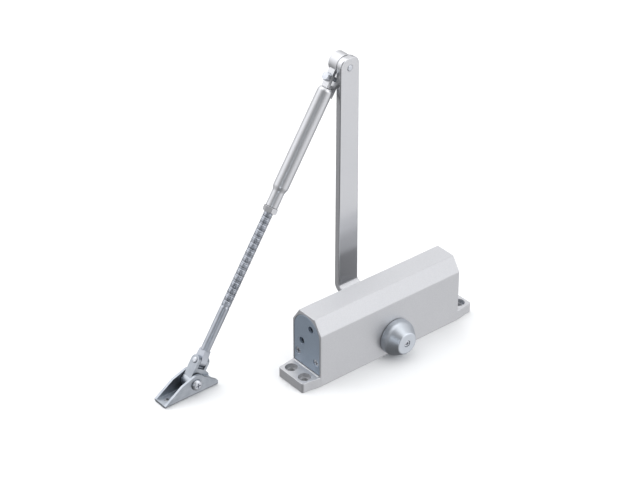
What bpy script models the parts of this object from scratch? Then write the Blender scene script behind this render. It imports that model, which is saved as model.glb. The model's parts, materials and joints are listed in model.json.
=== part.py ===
"""Surface-mounted rack-and-pinion door closer with a two-piece arm.

The body lies on its mounting face, Z = 0, with the origin at the centre of that face. +X runs along
the body, away from the end with the regulating screws, -Y is the side of the round spindle cap, +Y is
the side of the arm, and +Z points away from the door. Lengths are in metres.
"""

import math

import bmesh
import bpy
from mathutils import Matrix, Vector

MM = 0.001

# ---- Housing -------------------------------------------------------------------------------------
BODY_LENGTH = 175 * MM
BODY_WIDTH = 42 * MM
BODY_HEIGHT = 72 * MM
CHAMFER_RUN = 9.6 * MM  # across Y, each side of the top
CHAMFER_DROP = 14.6 * MM  # down Z
FLANGE_LENGTH = 20 * MM
FLANGE_THICKNESS = 10.6 * MM
FLANGE_END_WIDTH = 37 * MM
FLANGE_CORNER = 2.5 * MM
FLANGE_HOLE = 7 * MM
FLANGE_COUNTERBORE = 12.4 * MM
COUNTERBORE_DEPTH = 4 * MM
HOLE_SPACING = 20 * MM
HOLE_FROM_BODY = 10.8 * MM

# ---- Hydraulic cylinder --------------------------------------------------------------------------
BORE_RADIUS = 16.5 * MM
RACK_OUTSIDE = 2.1 * MM  # from the bore's wall in to the rack's pitch line
PLUG_HEAD_RIM = 1.3 * MM  # how far a plug's head stands out past the bore
PLUG_HEAD_LENGTH = 5 * MM
PLUG_BODY_LENGTH = 9 * MM
SEAL_SECTION = 1.2 * MM  # how deep the seal grooves are
SEAL_WIDTH = 3 * MM
RUNNING_GAP = 0.15 * MM
SEAT_GAP = 0.3 * MM

# ---- End covers ----------------------------------------------------------------------------------
COVER_RADIUS = 19 * MM
COVER_ARCH_HEIGHT = 50.5 * MM  # centre of the arch
COVER_FOOT = 11.6 * MM  # the cover's straight lower edge
COVER_THICKNESS = 2.6 * MM
COVER_SCREW_SIDE = 13.4 * MM
COVER_SCREW_HEIGHT = 23.6 * MM
COVER_SCREW_HEAD = 7.2 * MM
COVER_SCREW_SHANK = 3 * MM
COVER_SCREW_LENGTH = 10 * MM
# Y and Z from the cylinder's axis, in bore radii
VALVE_OFFSETS = {"closing": (-0.364, 0.703), "latching": (0.442, -0.448)}
VALVE_HOLE = 7 * MM
VALVE_DIAMETER = 5 * MM
VALVE_LENGTH = 5.8 * MM
VALVE_TIP = 1.2 * MM  # the cone beyond it
VALVE_PASSAGE = 1.6 * MM

# ---- Spindle and rack ----------------------------------------------------------------------------
SPINDLE_X = 4.4 * MM
SPINDLE_HEIGHT = 19 * MM
PITCH_RADIUS = 12.8 * MM
TEETH = 14
PRESSURE_ANGLE = math.radians(20)
GEAR_WIDTH = 22 * MM
TOOTH_GAP = 0.14 * MM  # taken off each flank
OPENING_ANGLE = math.radians(160)
JOURNAL_RADIUS = 7.5 * MM
BEARING_LENGTH = 4.6 * MM
SEAL_LENGTH = 1.6 * MM
FRONT_SQUARE = 9 * MM
REAR_SQUARE = 10 * MM
LAND_LENGTH = 9.4 * MM
SPRING_POCKET = 10 * MM
SPRING_WIRE = 3.6 * MM
SPRING_CLEARANCE = 2.2 * MM  # between the coil and the bore
SPRING_TURNS = 6.5
CHECK_BALL_RADIUS = 3.1 * MM
CHECK_BORE_RADIUS = 4 * MM
CHECK_PASSAGE_RADIUS = 2 * MM
CHECK_LIFT = 0.8 * MM

# ---- Spindle cap ---------------------------------------------------------------------------------
CAP_RADIUS = 18.5 * MM
CAP_RIM = 7.4 * MM
CAP_CONE = 11 * MM
CAP_FACE_RADIUS = 11.2 * MM
CAP_SCREW_HEAD = 6.6 * MM
CAP_SCREW_SHANK = 4.6 * MM

# ---- Main arm ------------------------------------------------------------------------------------
ARM_REACH = 262 * MM  # spindle to elbow
ARM_THICKNESS = 6.7 * MM
ARM_FOOT_WIDTH = 24.4 * MM
ARM_TIP_WIDTH = 22.2 * MM
ARM_OFFSET = 49.2 * MM  # front face of the long part, from the body's centre plane
ARM_FOOT_GAP = 3 * MM  # between the body and the arm's foot
ARM_BEND_HEIGHT = 42 * MM  # where the long part begins
ARM_FOOT_HEIGHT = 31.5 * MM  # where the foot ends
ARM_BEND_RADIUS = 6 * MM
ARM_TIP_REACH = 10.4 * MM  # past the elbow
ARM_TIP_CORNER = 8.8 * MM
ARM_BOLT_HEAD = 13 * MM  # across flats
ARM_BOLT_SHANK = 5.8 * MM

# ---- Elbow and forearm ---------------------------------------------------------------------------
RIVET_DIAMETER = 6.2 * MM
KNUCKLE_RADIUS = 10.3 * MM
KNUCKLE_THICKNESS = 12 * MM
ELBOW_GAP = 1 * MM
LUG_INNER = 0.4 * MM  # the lug's faces, outward of the tube's axis
LUG_OUTER = 4 * MM
KNUCKLE_BOLT_AT = 16.4 * MM
KNUCKLE_BOLT_HEAD = 8.6 * MM
FOREARM_LENGTH = 329.7 * MM  # elbow to the shoe's pivot
FOREARM_OFFSET = 3 * MM  # of the tube's axis, outward of the elbow
TUBE_START = 25 * MM
TUBE_STEP = 128 * MM
TUBE_END = 148 * MM
TUBE_RADIUS = 7.4 * MM
NECK_RADIUS = 5.95 * MM
TUBE_BORE = 5.1 * MM
STRAP_THICKNESS = 2.2 * MM
STRAP_WIDTH = 10 * MM
NUT_RADIUS = 7.2 * MM
NUT_LENGTH = 5.4 * MM
ROD_START = 105 * MM
THREAD_END = 251.5 * MM
THREAD_RADIUS = 4.75 * MM
SHANK_RADIUS = 4.5 * MM
EYE_FROM_PIVOT = 20.6 * MM
EYE_HALF_THICKNESS = 3.9 * MM
EYE_RADIUS = 5.4 * MM
EYE_LENGTH = 12 * MM
EYE_PIN = 5 * MM

# ---- Link and shoe -------------------------------------------------------------------------------
LEAF_THICKNESS = 3 * MM
LINK_WIDTH = 11.5 * MM
LINK_BOSS_RADIUS = 8 * MM
SHOE_WIDTH = 17.6 * MM
SHOE_CENTRE = 52.3 * MM  # from the body's centre plane
SHOE_WALL = 2.5 * MM
SHOE_BACK = 36.3 * MM  # from the pivot to the shoe's long end
SHOE_FRONT = 24.8 * MM  # and to its short end
SHOE_PIVOT_HEIGHT = 11.5 * MM
SHOE_APEX_RADIUS = 10 * MM
SHOE_SCREW = 6 * MM
SHOE_SCREW_HEAD = 11.6 * MM
SHOE_NUT = 10 * MM  # across flats
SHOE_HOLE = 4.8 * MM
SHOE_HOLE_FROM_END = 7.5 * MM

FINE, MEDIUM, COARSE = 40, 28, 18  # facets round a turned piece

# ---- Worked out from the above -------------------------------------------------------------------
HALF_LENGTH = BODY_LENGTH / 2
HALF_WIDTH = BODY_WIDTH / 2
SPINDLE = Vector((SPINDLE_X, 0, SPINDLE_HEIGHT))
BORE_HEIGHT = SPINDLE_HEIGHT + PITCH_RADIUS + BORE_RADIUS - RACK_OUTSIDE  # of the cylinder's axis
PLUG_HEAD_RADIUS = BORE_RADIUS + PLUG_HEAD_RIM
VALVE_PLACES = {
    name: (y * BORE_RADIUS, BORE_HEIGHT + z * BORE_RADIUS) for name, (y, z) in VALVE_OFFSETS.items()
}
SPRING_DIAMETER = 2 * (BORE_RADIUS - SPRING_CLEARANCE) - SPRING_WIRE  # of the wire's centre line
MODULE = 2 * PITCH_RADIUS / TEETH
TOOTH_PITCH = math.pi * MODULE
# A rack tooth this tall is the tallest that meets no undercut in the pinion.
RACK_ADDENDUM = PITCH_RADIUS * math.sin(PRESSURE_ANGLE) ** 2 - 0.05 * MM
PINION_RADIUS = PITCH_RADIUS + MODULE
TOOTH_CLEARANCE = 0.4 * MM
CROSS_BORE_RADIUS = PINION_RADIUS + 0.35 * MM
TRAVEL = PITCH_RADIUS * OPENING_ANGLE
COVER_FACE = HALF_LENGTH - COVER_THICKNESS - SEAT_GAP  # bottom of the end cover's pocket
PLUG_INNER = COVER_FACE - SEAT_GAP - PLUG_HEAD_LENGTH - PLUG_BODY_LENGTH
ARM_FOOT_FRONT = HALF_WIDTH + ARM_FOOT_GAP
ARM_BACK = ARM_OFFSET + ARM_THICKNESS
ELBOW = Vector((SPINDLE_X, 0, SPINDLE_HEIGHT + ARM_REACH))
FOREARM_Y = ARM_BACK + ELBOW_GAP + KNUCKLE_THICKNESS / 2
LEAN = math.asin((SHOE_CENTRE - FOREARM_Y) / FOREARM_LENGTH)


def forearm_slope():
    """The forearm's angle from the vertical that puts the shoe's pivot at its height above Z = 0."""
    in_plane = FOREARM_LENGTH * math.cos(LEAN)
    reach = math.hypot(in_plane, FOREARM_OFFSET)
    return math.acos((ELBOW.z - SHOE_PIVOT_HEIGHT) / reach) - math.atan2(FOREARM_OFFSET, in_plane)


SLOPE = forearm_slope()
OUTWARD = Vector((-math.cos(SLOPE), 0, math.sin(SLOPE)))
DOWN_PLANE = Vector((-math.sin(SLOPE), 0, -math.cos(SLOPE)))
DOWN = DOWN_PLANE * math.cos(LEAN) + Vector((0, math.sin(LEAN), 0))
ELBOW_POINT = Vector((ELBOW.x, FOREARM_Y, ELBOW.z))
FOREARM_START = ELBOW_POINT + OUTWARD * FOREARM_OFFSET
EYE_AT = FOREARM_LENGTH - EYE_FROM_PIVOT
SHOE_PIVOT = FOREARM_START + DOWN * FOREARM_LENGTH


# ---- Helpers -------------------------------------------------------------------------------------
def clear_scene():
    for obj in list(bpy.data.objects):
        bpy.data.objects.remove(obj, do_unlink=True)


def finish(name, colour, roughness, metallic):
    """A Principled material in linear colour values."""
    made = bpy.data.materials.new(name)
    made.use_nodes = True
    shader = made.node_tree.nodes["Principled BSDF"]
    shader.inputs["Base Color"].default_value = (*colour, 1)
    shader.inputs["Roughness"].default_value = roughness
    shader.inputs["Metallic"].default_value = metallic
    return made


def frame(origin, axis, across):
    """A matrix at origin whose Z runs along axis and whose X is as near to across as it can be."""
    z = Vector(axis).normalized()
    y = z.cross(Vector(across)).normalized()
    turned_frame = Matrix((y.cross(z), y, z)).transposed().to_4x4()
    turned_frame.translation = Vector(origin)
    return turned_frame


def add_object(name, bm, material, place, parent=None):
    """Makes bm an object at place, shaded smooth but for its sharp edges."""
    bmesh.ops.recalc_face_normals(bm, faces=bm.faces)
    mesh = bpy.data.meshes.new(name)
    bm.to_mesh(mesh)
    bm.free()
    mesh.shade_smooth()
    mesh.set_sharp_from_angle(angle=math.radians(30))
    obj = bpy.data.objects.new(name, mesh)
    if material:
        mesh.materials.append(material)
    bpy.context.scene.collection.objects.link(obj)
    obj.matrix_world = place
    if parent:
        obj.parent = parent
        obj.matrix_parent_inverse = parent.matrix_world.inverted()
    return obj


def joint_empty(name, place, parent=None):
    empty = bpy.data.objects.new(name, None)
    empty.empty_display_size = 10 * MM
    bpy.context.scene.collection.objects.link(empty)
    empty.matrix_world = place
    if parent:
        empty.parent = parent
        empty.matrix_parent_inverse = parent.matrix_world.inverted()
    bpy.context.view_layer.update()
    return empty


def combine(obj, bm, place, operation="DIFFERENCE"):
    """A live Boolean of obj with bm at place."""
    other = add_object(f"{obj.name}.{operation.lower()}", bm, None, place)
    other.hide_render = True
    other.display_type = "WIRE"
    modifier = obj.modifiers.new(operation.title(), "BOOLEAN")
    modifier.operation = operation
    modifier.object = other


def turned(profile, facets):
    """A solid of revolution about Z from (radius, z) points that end on the axis or close a ring."""
    bm = bmesh.new()
    rings = []
    for radius, z in profile:
        if radius == 0:
            rings.append([bm.verts.new((0, 0, z))])
            continue
        angles = [2 * math.pi * i / facets for i in range(facets)]
        rings.append([bm.verts.new((radius * math.cos(a), radius * math.sin(a), z)) for a in angles])
    closed_ring = all(len(ring) > 1 for ring in rings)
    for i in range(len(rings) if closed_ring else len(rings) - 1):
        first, second = rings[i], rings[(i + 1) % len(rings)]
        for j in range(facets):
            k = (j + 1) % facets
            corners = [first[j % len(first)], first[k % len(first)]]
            corners += [second[k % len(second)], second[j % len(second)]]
            bm.faces.new(list(dict.fromkeys(corners)))
    return bm


def cylinder(radius, start, end, facets=MEDIUM):
    return turned([(0, start), (radius, start), (radius, end), (0, end)], facets)


def ring(inner, outer, start, end, facets=MEDIUM):
    return turned([(inner, start), (outer, start), (outer, end), (inner, end)], facets)


def prism(outline, start, end):
    """The outline in XY, extruded along Z."""
    bm = bmesh.new()
    face = bm.faces.new([bm.verts.new((x, y, start)) for x, y in outline])
    top = bmesh.ops.extrude_face_region(bm, geom=[face])
    moved = [v for v in top["geom"] if isinstance(v, bmesh.types.BMVert)]
    bmesh.ops.translate(bm, verts=moved, vec=(0, 0, end - start))
    return bm


def box(low, high):
    outline = [(low[0], low[1]), (high[0], low[1]), (high[0], high[1]), (low[0], high[1])]
    return prism(outline, low[2], high[2])


def arc(centre, radius, start, end, steps):
    """Points of an arc, angles in degrees, both ends included."""
    points = []
    for i in range(steps + 1):
        a = math.radians(start + (end - start) * i / steps)
        points.append((centre[0] + radius * math.cos(a), centre[1] + radius * math.sin(a)))
    return points


def filleted(corners, radius, steps=6):
    """An open path through corners, each inner corner replaced by an arc of this radius."""
    path = [Vector(corners[0])]
    for before, corner, after in zip(corners, corners[1:], corners[2:]):
        back = (Vector(before) - Vector(corner)).normalized()
        forth = (Vector(after) - Vector(corner)).normalized()
        half = back.angle(forth) / 2
        centre = Vector(corner) + (back + forth).normalized() * (radius / math.sin(half))
        first = Vector(corner) + back * (radius / math.tan(half)) - centre
        last = Vector(corner) + forth * (radius / math.tan(half)) - centre
        for i in range(steps + 1):
            path.append(centre + first.lerp(last, i / steps).normalized() * radius)
    path.append(Vector(corners[-1]))
    return path


def strip(path, thickness):
    """The outline of a bent strip: the path moved half the thickness to each side."""
    sides = ([], [])
    for i, point in enumerate(path):
        before = path[max(i - 1, 0)]
        after = path[min(i + 1, len(path) - 1)]
        along = (after - before).normalized()
        across = Vector((-along.y, along.x)) * (thickness / 2)
        sides[0].append(tuple(point + across))
        sides[1].append(tuple(point - across))
    return sides[0] + sides[1][::-1]


def hexagon(across_flats):
    return arc((0, 0), across_flats / math.sqrt(3), 0, 300, 5)


def square(side):
    half = side / 2
    return [(-half, -half), (half, -half), (half, half), (-half, half)]


# ---- Housing and its end fittings ----------------------------------------------------------------
def end_frame(side):
    """At the middle of a body end, Z outward along X, X up and Y along +Y or -Y."""
    return frame((side * HALF_LENGTH, 0, 0), (side, 0, 0), (0, 0, 1))


def across_y(side, y):
    """The Y of a place on the body, in the end frame of that side."""
    return -side * y


def arch(radius_change):
    """Outline of an end cover in an end frame, X up: a half round over straight sides."""
    radius = COVER_RADIUS + radius_change
    foot = COVER_FOOT - radius_change
    return arc((COVER_ARCH_HEIGHT, 0), radius, -90, 90, 24) + [(foot, radius), (foot, -radius)]


def flange_outline():
    """Half the outline of a flange, from inside the body out, X outward."""
    inside = HALF_LENGTH - 8 * MM
    tip = HALF_LENGTH + FLANGE_LENGTH
    half_tip = FLANGE_END_WIDTH / 2
    shoulder = HALF_WIDTH - 0.2 * MM
    side = [(inside, -shoulder), (HALF_LENGTH - 1 * MM, -shoulder)]
    waist = (HALF_LENGTH + FLANGE_LENGTH * 0.45, -(shoulder * 0.55 + half_tip * 0.45))
    corner = arc((tip - FLANGE_CORNER, -half_tip + FLANGE_CORNER), FLANGE_CORNER, -80, 0, 4)
    lower = side + [waist] + corner
    return lower + [(x, -y) for x, y in reversed(lower)]


def make_housing(material):
    top = HALF_WIDTH - CHAMFER_RUN
    shoulder = BODY_HEIGHT - CHAMFER_DROP
    section = [
        (0, -HALF_WIDTH), (shoulder, -HALF_WIDTH), (BODY_HEIGHT, -top),
        (BODY_HEIGHT, top), (shoulder, HALF_WIDTH), (0, HALF_WIDTH),
    ]
    along_x = frame((0, 0, 0), (1, 0, 0), (0, 0, 1))
    housing = add_object("housing", prism(section, -HALF_LENGTH, HALF_LENGTH), material, along_x)
    for side in (-1, 1):
        turn = Matrix.Rotation(0 if side > 0 else math.pi, 4, "Z")
        combine(housing, prism(flange_outline(), 0, FLANGE_THICKNESS), turn, "UNION")
    for side in (-1, 1):
        place = end_frame(side)
        pocket_depth = COVER_THICKNESS + SEAT_GAP
        combine(housing, prism(arch(SEAT_GAP), -pocket_depth, 5 * MM), place)
        seat_end = -(pocket_depth + SEAT_GAP + PLUG_HEAD_LENGTH + SEAT_GAP)
        seat = cylinder(PLUG_HEAD_RADIUS + 0.2 * MM, seat_end, -pocket_depth + 1 * MM, FINE)
        combine(housing, seat, place @ Matrix.Translation((BORE_HEIGHT, 0, 0)))
        for y in (-COVER_SCREW_SIDE, COVER_SCREW_SIDE):
            hole = cylinder(COVER_SCREW_SHANK / 2 + 0.1 * MM, -COVER_SCREW_LENGTH - 4 * MM, 0, 12)
            combine(housing, hole, place @ Matrix.Translation((COVER_SCREW_HEIGHT, y, 0)))
        for y in (-HOLE_SPACING / 2, HOLE_SPACING / 2):
            bore, wide = FLANGE_HOLE / 2, FLANGE_COUNTERBORE / 2
            seat, above = FLANGE_THICKNESS - COUNTERBORE_DEPTH, FLANGE_THICKNESS + 1 * MM
            profile = [(0, -1 * MM), (bore, -1 * MM), (bore, seat)]
            profile += [(wide, seat), (wide, above), (0, above)]
            at = Matrix.Translation((side * (HALF_LENGTH + HOLE_FROM_BODY), y, 0))
            combine(housing, turned(profile, 24), at)
    main_bore = cylinder(BORE_RADIUS, -HALF_LENGTH + 5 * MM, HALF_LENGTH - 5 * MM, FINE)
    combine(housing, main_bore, along_x @ Matrix.Translation((BORE_HEIGHT, 0, 0)))
    cross_bore = cylinder(CROSS_BORE_RADIUS, -HALF_WIDTH - 1 * MM, HALF_WIDTH + 1 * MM, FINE)
    # turned by a degree, so that no vertex of it falls on an edge of the main bore
    combine(housing, cross_bore, frame(SPINDLE, (0, 1, 0), (1, 0, 0.02)))


def make_end_covers(material, screw_material):
    for side, label in ((-1, "left"), (1, "right")):
        place = end_frame(side)
        plate = prism(arch(0), -COVER_THICKNESS, 0)
        cover = add_object(f"end_cover_{label}", plate, material, place)
        head, shank = COVER_SCREW_HEAD / 2, COVER_SCREW_SHANK / 2
        sink = head - shank
        for number, y in enumerate((-COVER_SCREW_SIDE, COVER_SCREW_SIDE), start=1):
            at = place @ Matrix.Translation((COVER_SCREW_HEIGHT, y, 0))
            gap = SEAT_GAP
            hole = [(0, 1 * MM), (head + gap, 1 * MM), (head + gap, -0.6 * MM)]
            hole += [(shank + gap, -0.6 * MM - sink), (shank + gap, -4 * MM), (0, -4 * MM)]
            combine(cover, turned(hole, 20), at)
            top = -0.7 * MM
            screw = [(0, top), (head, top), (shank, top - sink), (shank, top - COVER_SCREW_LENGTH)]
            screw.append((0, top - COVER_SCREW_LENGTH - 0.8 * MM))
            driver = box((-3 * MM, -0.5 * MM, top - 1.1 * MM), (3 * MM, 0.5 * MM, 1 * MM))
            made = add_object(f"cover_screw_{label}_{number}", turned(screw, COARSE), screw_material, at)
            combine(made, driver, at)
        if side < 0:
            for y, z in VALVE_PLACES.values():
                window = cylinder(VALVE_HOLE / 2, -COVER_THICKNESS - 1 * MM, 1 * MM, 20)
                combine(cover, window, place @ Matrix.Translation((z, across_y(side, y), 0)))


def make_plugs(material, seal_material):
    for side, label in ((-1, "left"), (1, "right")):
        seat = COVER_FACE - HALF_LENGTH - SEAT_GAP
        place = end_frame(side) @ Matrix.Translation((BORE_HEIGHT, 0, seat))
        wall = BORE_RADIUS - RUNNING_GAP
        groove = wall - SEAL_SECTION
        groove_start = -PLUG_HEAD_LENGTH - 4 * MM
        groove_end = groove_start - SEAL_WIDTH
        foot = -PLUG_HEAD_LENGTH - PLUG_BODY_LENGTH
        head = PLUG_HEAD_RADIUS
        profile = [
            (0, 0), (head, 0), (head, -PLUG_HEAD_LENGTH), (wall, -PLUG_HEAD_LENGTH),
            (wall, groove_start), (groove, groove_start), (groove, groove_end), (wall, groove_end),
            (wall, foot), (0, foot),
        ]
        plug = add_object(f"cylinder_plug_{label}", turned(profile, FINE), material, place)
        low, high = groove_end + 0.2 * MM, groove_start - 0.2 * MM
        seal = ring(groove + 0.1 * MM, BORE_RADIUS - 0.05 * MM, low, high, FINE)
        add_object(f"plug_seal_{label}", seal, seal_material, place)
        if side > 0:
            combine(plug, prism(hexagon(8 * MM), -6 * MM, 1 * MM), place)
            continue
        for y, z in VALVE_PLACES.values():
            wide, narrow = VALVE_DIAMETER / 2 + 0.1 * MM, VALVE_PASSAGE / 2
            step = -VALVE_LENGTH - VALVE_TIP - 0.8 * MM
            hole = [(0, foot - 1 * MM), (narrow, foot - 1 * MM), (narrow, step), (wide, step)]
            hole += [(wide, 1 * MM), (0, 1 * MM)]
            at = place @ Matrix.Translation((z - BORE_HEIGHT, across_y(side, y), 0))
            combine(plug, turned(hole, COARSE), at)


def make_valves(material, seal_material):
    """The two regulating screws, each with a seal in a groove near its inner end."""
    radius = VALVE_DIAMETER / 2
    groove = radius - 0.7 * MM
    groove_start, groove_end = -3.2 * MM, -4.8 * MM
    for label, (y, z) in VALVE_PLACES.items():
        face = COVER_FACE - HALF_LENGTH - 2 * SEAT_GAP
        place = end_frame(-1) @ Matrix.Translation((z, across_y(-1, y), face))
        joint = joint_empty(f"{label}_valve_joint", place)
        profile = [
            (0, 0), (radius, 0), (radius, groove_start), (groove, groove_start), (groove, groove_end),
            (radius, groove_end), (radius, -VALVE_LENGTH), (0, -VALVE_LENGTH - VALVE_TIP),
        ]
        screw = add_object(f"{label}_valve_screw", turned(profile, COARSE), material, place, joint)
        slot = box((-4 * MM, -0.45 * MM, -1.5 * MM), (4 * MM, 0.45 * MM, 1 * MM))
        combine(screw, slot, place)
        low, high = groove_end + 0.15 * MM, groove_start - 0.15 * MM
        seal = ring(groove + 0.08 * MM, radius + 0.04 * MM, low, high, COARSE)
        add_object(f"{label}_valve_seal", seal, seal_material, place, joint)


# ---- Piston, rack and spring ---------------------------------------------------------------------
def rack_outline(low, high, bottom):
    """The space cut out of the piston: everything below the rack's teeth, in the piston's X and Z."""
    pitch_line = SPINDLE_HEIGHT + PITCH_RADIUS
    root = pitch_line + MODULE + TOOTH_CLEARANCE
    tip = pitch_line - RACK_ADDENDUM
    half_at_pitch = TOOTH_PITCH / 4 - TOOTH_GAP
    lean = math.tan(PRESSURE_ANGLE)
    half_tip = half_at_pitch - (pitch_line - tip) * lean
    half_root = half_at_pitch + (root - pitch_line) * lean
    outline = [(low, bottom), (low, root)]
    count = math.floor((high - SPINDLE_X) / TOOTH_PITCH - 0.6)
    for number in range(-1, count + 1):
        x = SPINDLE_X + number * TOOTH_PITCH
        outline += [(x - half_root, root), (x - half_tip, tip)]
        outline += [(x + half_tip, tip), (x + half_root, root)]
    return outline + [(high, root), (high, bottom)]


def make_piston(material, seal_material, ball_material):
    radius = BORE_RADIUS - RUNNING_GAP
    sweep = math.sqrt(PINION_RADIUS**2 - (BORE_HEIGHT - radius - SPINDLE_HEIGHT) ** 2) + 0.7 * MM
    window_low = SPINDLE_X - sweep
    window_high = SPINDLE_X + sweep + TRAVEL
    low = window_low - LAND_LENGTH
    high = window_high + LAND_LENGTH
    place = frame((0, 0, BORE_HEIGHT), (1, 0, 0), (0, 0, 1))
    joint = joint_empty("piston_joint", Matrix.Translation((0, 0, BORE_HEIGHT)))
    groove = radius - SEAL_SECTION
    groove_low = high - LAND_LENGTH / 2 - SEAL_WIDTH / 2
    groove_high = groove_low + SEAL_WIDTH
    pocket_radius = SPRING_DIAMETER / 2 + SPRING_WIRE / 2 + 0.4 * MM
    ball_bore_low = high - 10 * MM
    pocket_end = low + SPRING_POCKET
    profile = [
        (CHECK_PASSAGE_RADIUS, pocket_end), (pocket_radius, pocket_end), (pocket_radius, low),
        (radius, low), (radius, groove_low), (groove, groove_low), (groove, groove_high),
        (radius, groove_high), (radius, high), (CHECK_BORE_RADIUS, high),
        (CHECK_BORE_RADIUS, ball_bore_low), (CHECK_PASSAGE_RADIUS, ball_bore_low),
    ]
    piston = add_object("piston", turned(profile, FINE), material, place, joint)
    bottom = BORE_HEIGHT - radius - 2 * MM
    facing_y = frame((0, 0, 0), (0, -1, 0), (1, 0, 0))
    cutter = prism(rack_outline(window_low, window_high, bottom), -BORE_RADIUS, BORE_RADIUS)
    combine(piston, cutter, facing_y)
    seal_low, seal_high = groove_low + 0.2 * MM, groove_high - 0.2 * MM
    seal = ring(groove + 0.1 * MM, BORE_RADIUS - 0.05 * MM, seal_low, seal_high, FINE)
    add_object("piston_seal", seal, seal_material, place, joint)

    seat_low = high - 2.6 * MM
    seat = ring(1.8 * MM, CHECK_BORE_RADIUS - 0.1 * MM, seat_low, high - 0.1 * MM, COARSE)
    add_object("check_valve_seat", seat, material, place, joint)
    reach = math.sqrt(CHECK_BALL_RADIUS**2 - (1.8 * MM) ** 2)
    ball_place = Matrix.Translation((seat_low - reach - 0.2 * MM, 0, BORE_HEIGHT))
    ball_joint = joint_empty("check_ball_joint", ball_place, joint)
    ball = bmesh.new()
    bmesh.ops.create_icosphere(ball, subdivisions=2, radius=CHECK_BALL_RADIUS)
    add_object("check_ball", ball, ball_material, ball_place, ball_joint)
    return low


def make_spring(material, piston_low):
    """A coil from the left plug to the bottom of the piston's pocket, with its end turns closed up."""
    start = -PLUG_INNER + SEAT_GAP + SPRING_WIRE / 2
    end = piston_low + SPRING_POCKET - SEAT_GAP - SPRING_WIRE / 2
    sides, per_turn = 7, 16
    steps = round(SPRING_TURNS * per_turn)
    closed = 1.0  # turns at each end that lie nearly flat
    flat_rise = (SPRING_WIRE + 0.25 * MM) * closed
    rings = []
    bm = bmesh.new()
    for i in range(steps + 1):
        turn = SPRING_TURNS * i / steps
        if turn < closed:
            x = start + flat_rise * turn / closed
        elif turn > SPRING_TURNS - closed:
            x = end - flat_rise * (SPRING_TURNS - turn) / closed
        else:
            share = (turn - closed) / (SPRING_TURNS - 2 * closed)
            x = start + flat_rise + (end - start - 2 * flat_rise) * share
        angle = 2 * math.pi * turn
        out = Vector((0, math.cos(angle), math.sin(angle)))
        centre = Vector((x, 0, 0)) + out * (SPRING_DIAMETER / 2)
        loop = []
        for j in range(sides):
            a = 2 * math.pi * j / sides
            offset = out * math.cos(a) + Vector((1, 0, 0)) * math.sin(a)
            loop.append(bm.verts.new(centre + offset * (SPRING_WIRE / 2)))
        rings.append(loop)
    for first, second in zip(rings, rings[1:]):
        for j in range(sides):
            k = (j + 1) % sides
            bm.faces.new((first[j], first[k], second[k], second[j]))
    bm.faces.new(rings[0])
    bm.faces.new(rings[-1])
    add_object("return_spring", bm, material, Matrix.Translation((0, 0, BORE_HEIGHT)))


# ---- Spindle -------------------------------------------------------------------------------------
def gear_outline():
    """The pinion's outline with a tooth space at the top, so that a rack tooth sits in it at rest."""
    base = PITCH_RADIUS * math.cos(PRESSURE_ANGLE)
    root = PITCH_RADIUS - RACK_ADDENDUM - TOOTH_CLEARANCE

    def involute(radius):
        tangent = math.sqrt(max((radius / base) ** 2 - 1, 0))
        return tangent - math.atan(tangent)

    half_pitch_angle = math.pi / (2 * TEETH) - TOOTH_GAP / PITCH_RADIUS
    lower, upper = (base + PITCH_RADIUS) / 2, (PITCH_RADIUS + PINION_RADIUS) / 2
    radii = [base, lower, PITCH_RADIUS, upper, PINION_RADIUS]
    flank = [(r, half_pitch_angle + involute(PITCH_RADIUS) - involute(r)) for r in radii]
    flank.insert(0, (root, flank[0][1]))
    outline = []
    for number in range(TEETH):
        middle = math.pi / 2 + 2 * math.pi * (number + 0.5) / TEETH
        for radius, half in flank:
            outline.append((radius * math.cos(middle - half), radius * math.sin(middle - half)))
        for radius, half in reversed(flank):
            outline.append((radius * math.cos(middle + half), radius * math.sin(middle + half)))
    return outline


def make_spindle(material, joint):
    """The toothed shaft, Z along +Y in its own frame: squared at the cap's end and at the arm's end."""
    place = frame(SPINDLE, (0, 1, 0), (1, 0, 0))
    journal = HALF_WIDTH + 1 * MM
    gear = prism(gear_outline(), -GEAR_WIDTH / 2, GEAR_WIDTH / 2)
    shaft = add_object("pinion_shaft", gear, material, place, joint)
    combine(shaft, cylinder(JOURNAL_RADIUS, -journal, journal + 1 * MM), place, "UNION")
    front_end = -(HALF_WIDTH + CAP_RIM + CAP_CONE - 5 * MM)
    combine(shaft, prism(square(FRONT_SQUARE), front_end, -journal + 4 * MM), place, "UNION")
    rear_end = ARM_FOOT_FRONT + ARM_THICKNESS - 0.2 * MM
    combine(shaft, prism(square(REAR_SQUARE), journal - 4 * MM, rear_end), place, "UNION")
    front_hole = cylinder(CAP_SCREW_SHANK / 2 + 0.1 * MM, front_end - 1 * MM, front_end + 11 * MM, COARSE)
    combine(shaft, front_hole, place)
    rear_hole = cylinder(ARM_BOLT_SHANK / 2 + 0.1 * MM, rear_end - 15 * MM, rear_end + 1 * MM, COARSE)
    combine(shaft, rear_hole, place)
    return front_end, rear_end


def make_bearings(bronze, rubber, steel):
    for side, label in ((-1, "front"), (1, "rear")):
        place = frame(SPINDLE, (0, side, 0), (side, 0, 0))
        start = GEAR_WIDTH / 2 + 0.6 * MM
        end = start + BEARING_LENGTH
        outer = CROSS_BORE_RADIUS - 0.1 * MM
        inner = JOURNAL_RADIUS + RUNNING_GAP
        add_object(f"bearing_{label}", ring(inner, outer, start, end), bronze, place)
        seal_start = end + 0.25 * MM
        seal_end = seal_start + SEAL_LENGTH
        seal = ring(JOURNAL_RADIUS + 0.05 * MM, 11 * MM, seal_start, seal_end)
        add_object(f"shaft_seal_{label}", seal, rubber, place)
        cap = ring(JOURNAL_RADIUS + 0.6 * MM, outer, seal_end + 0.25 * MM, HALF_WIDTH - 0.1 * MM)
        add_object(f"bearing_cap_{label}", cap, steel, place)


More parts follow.
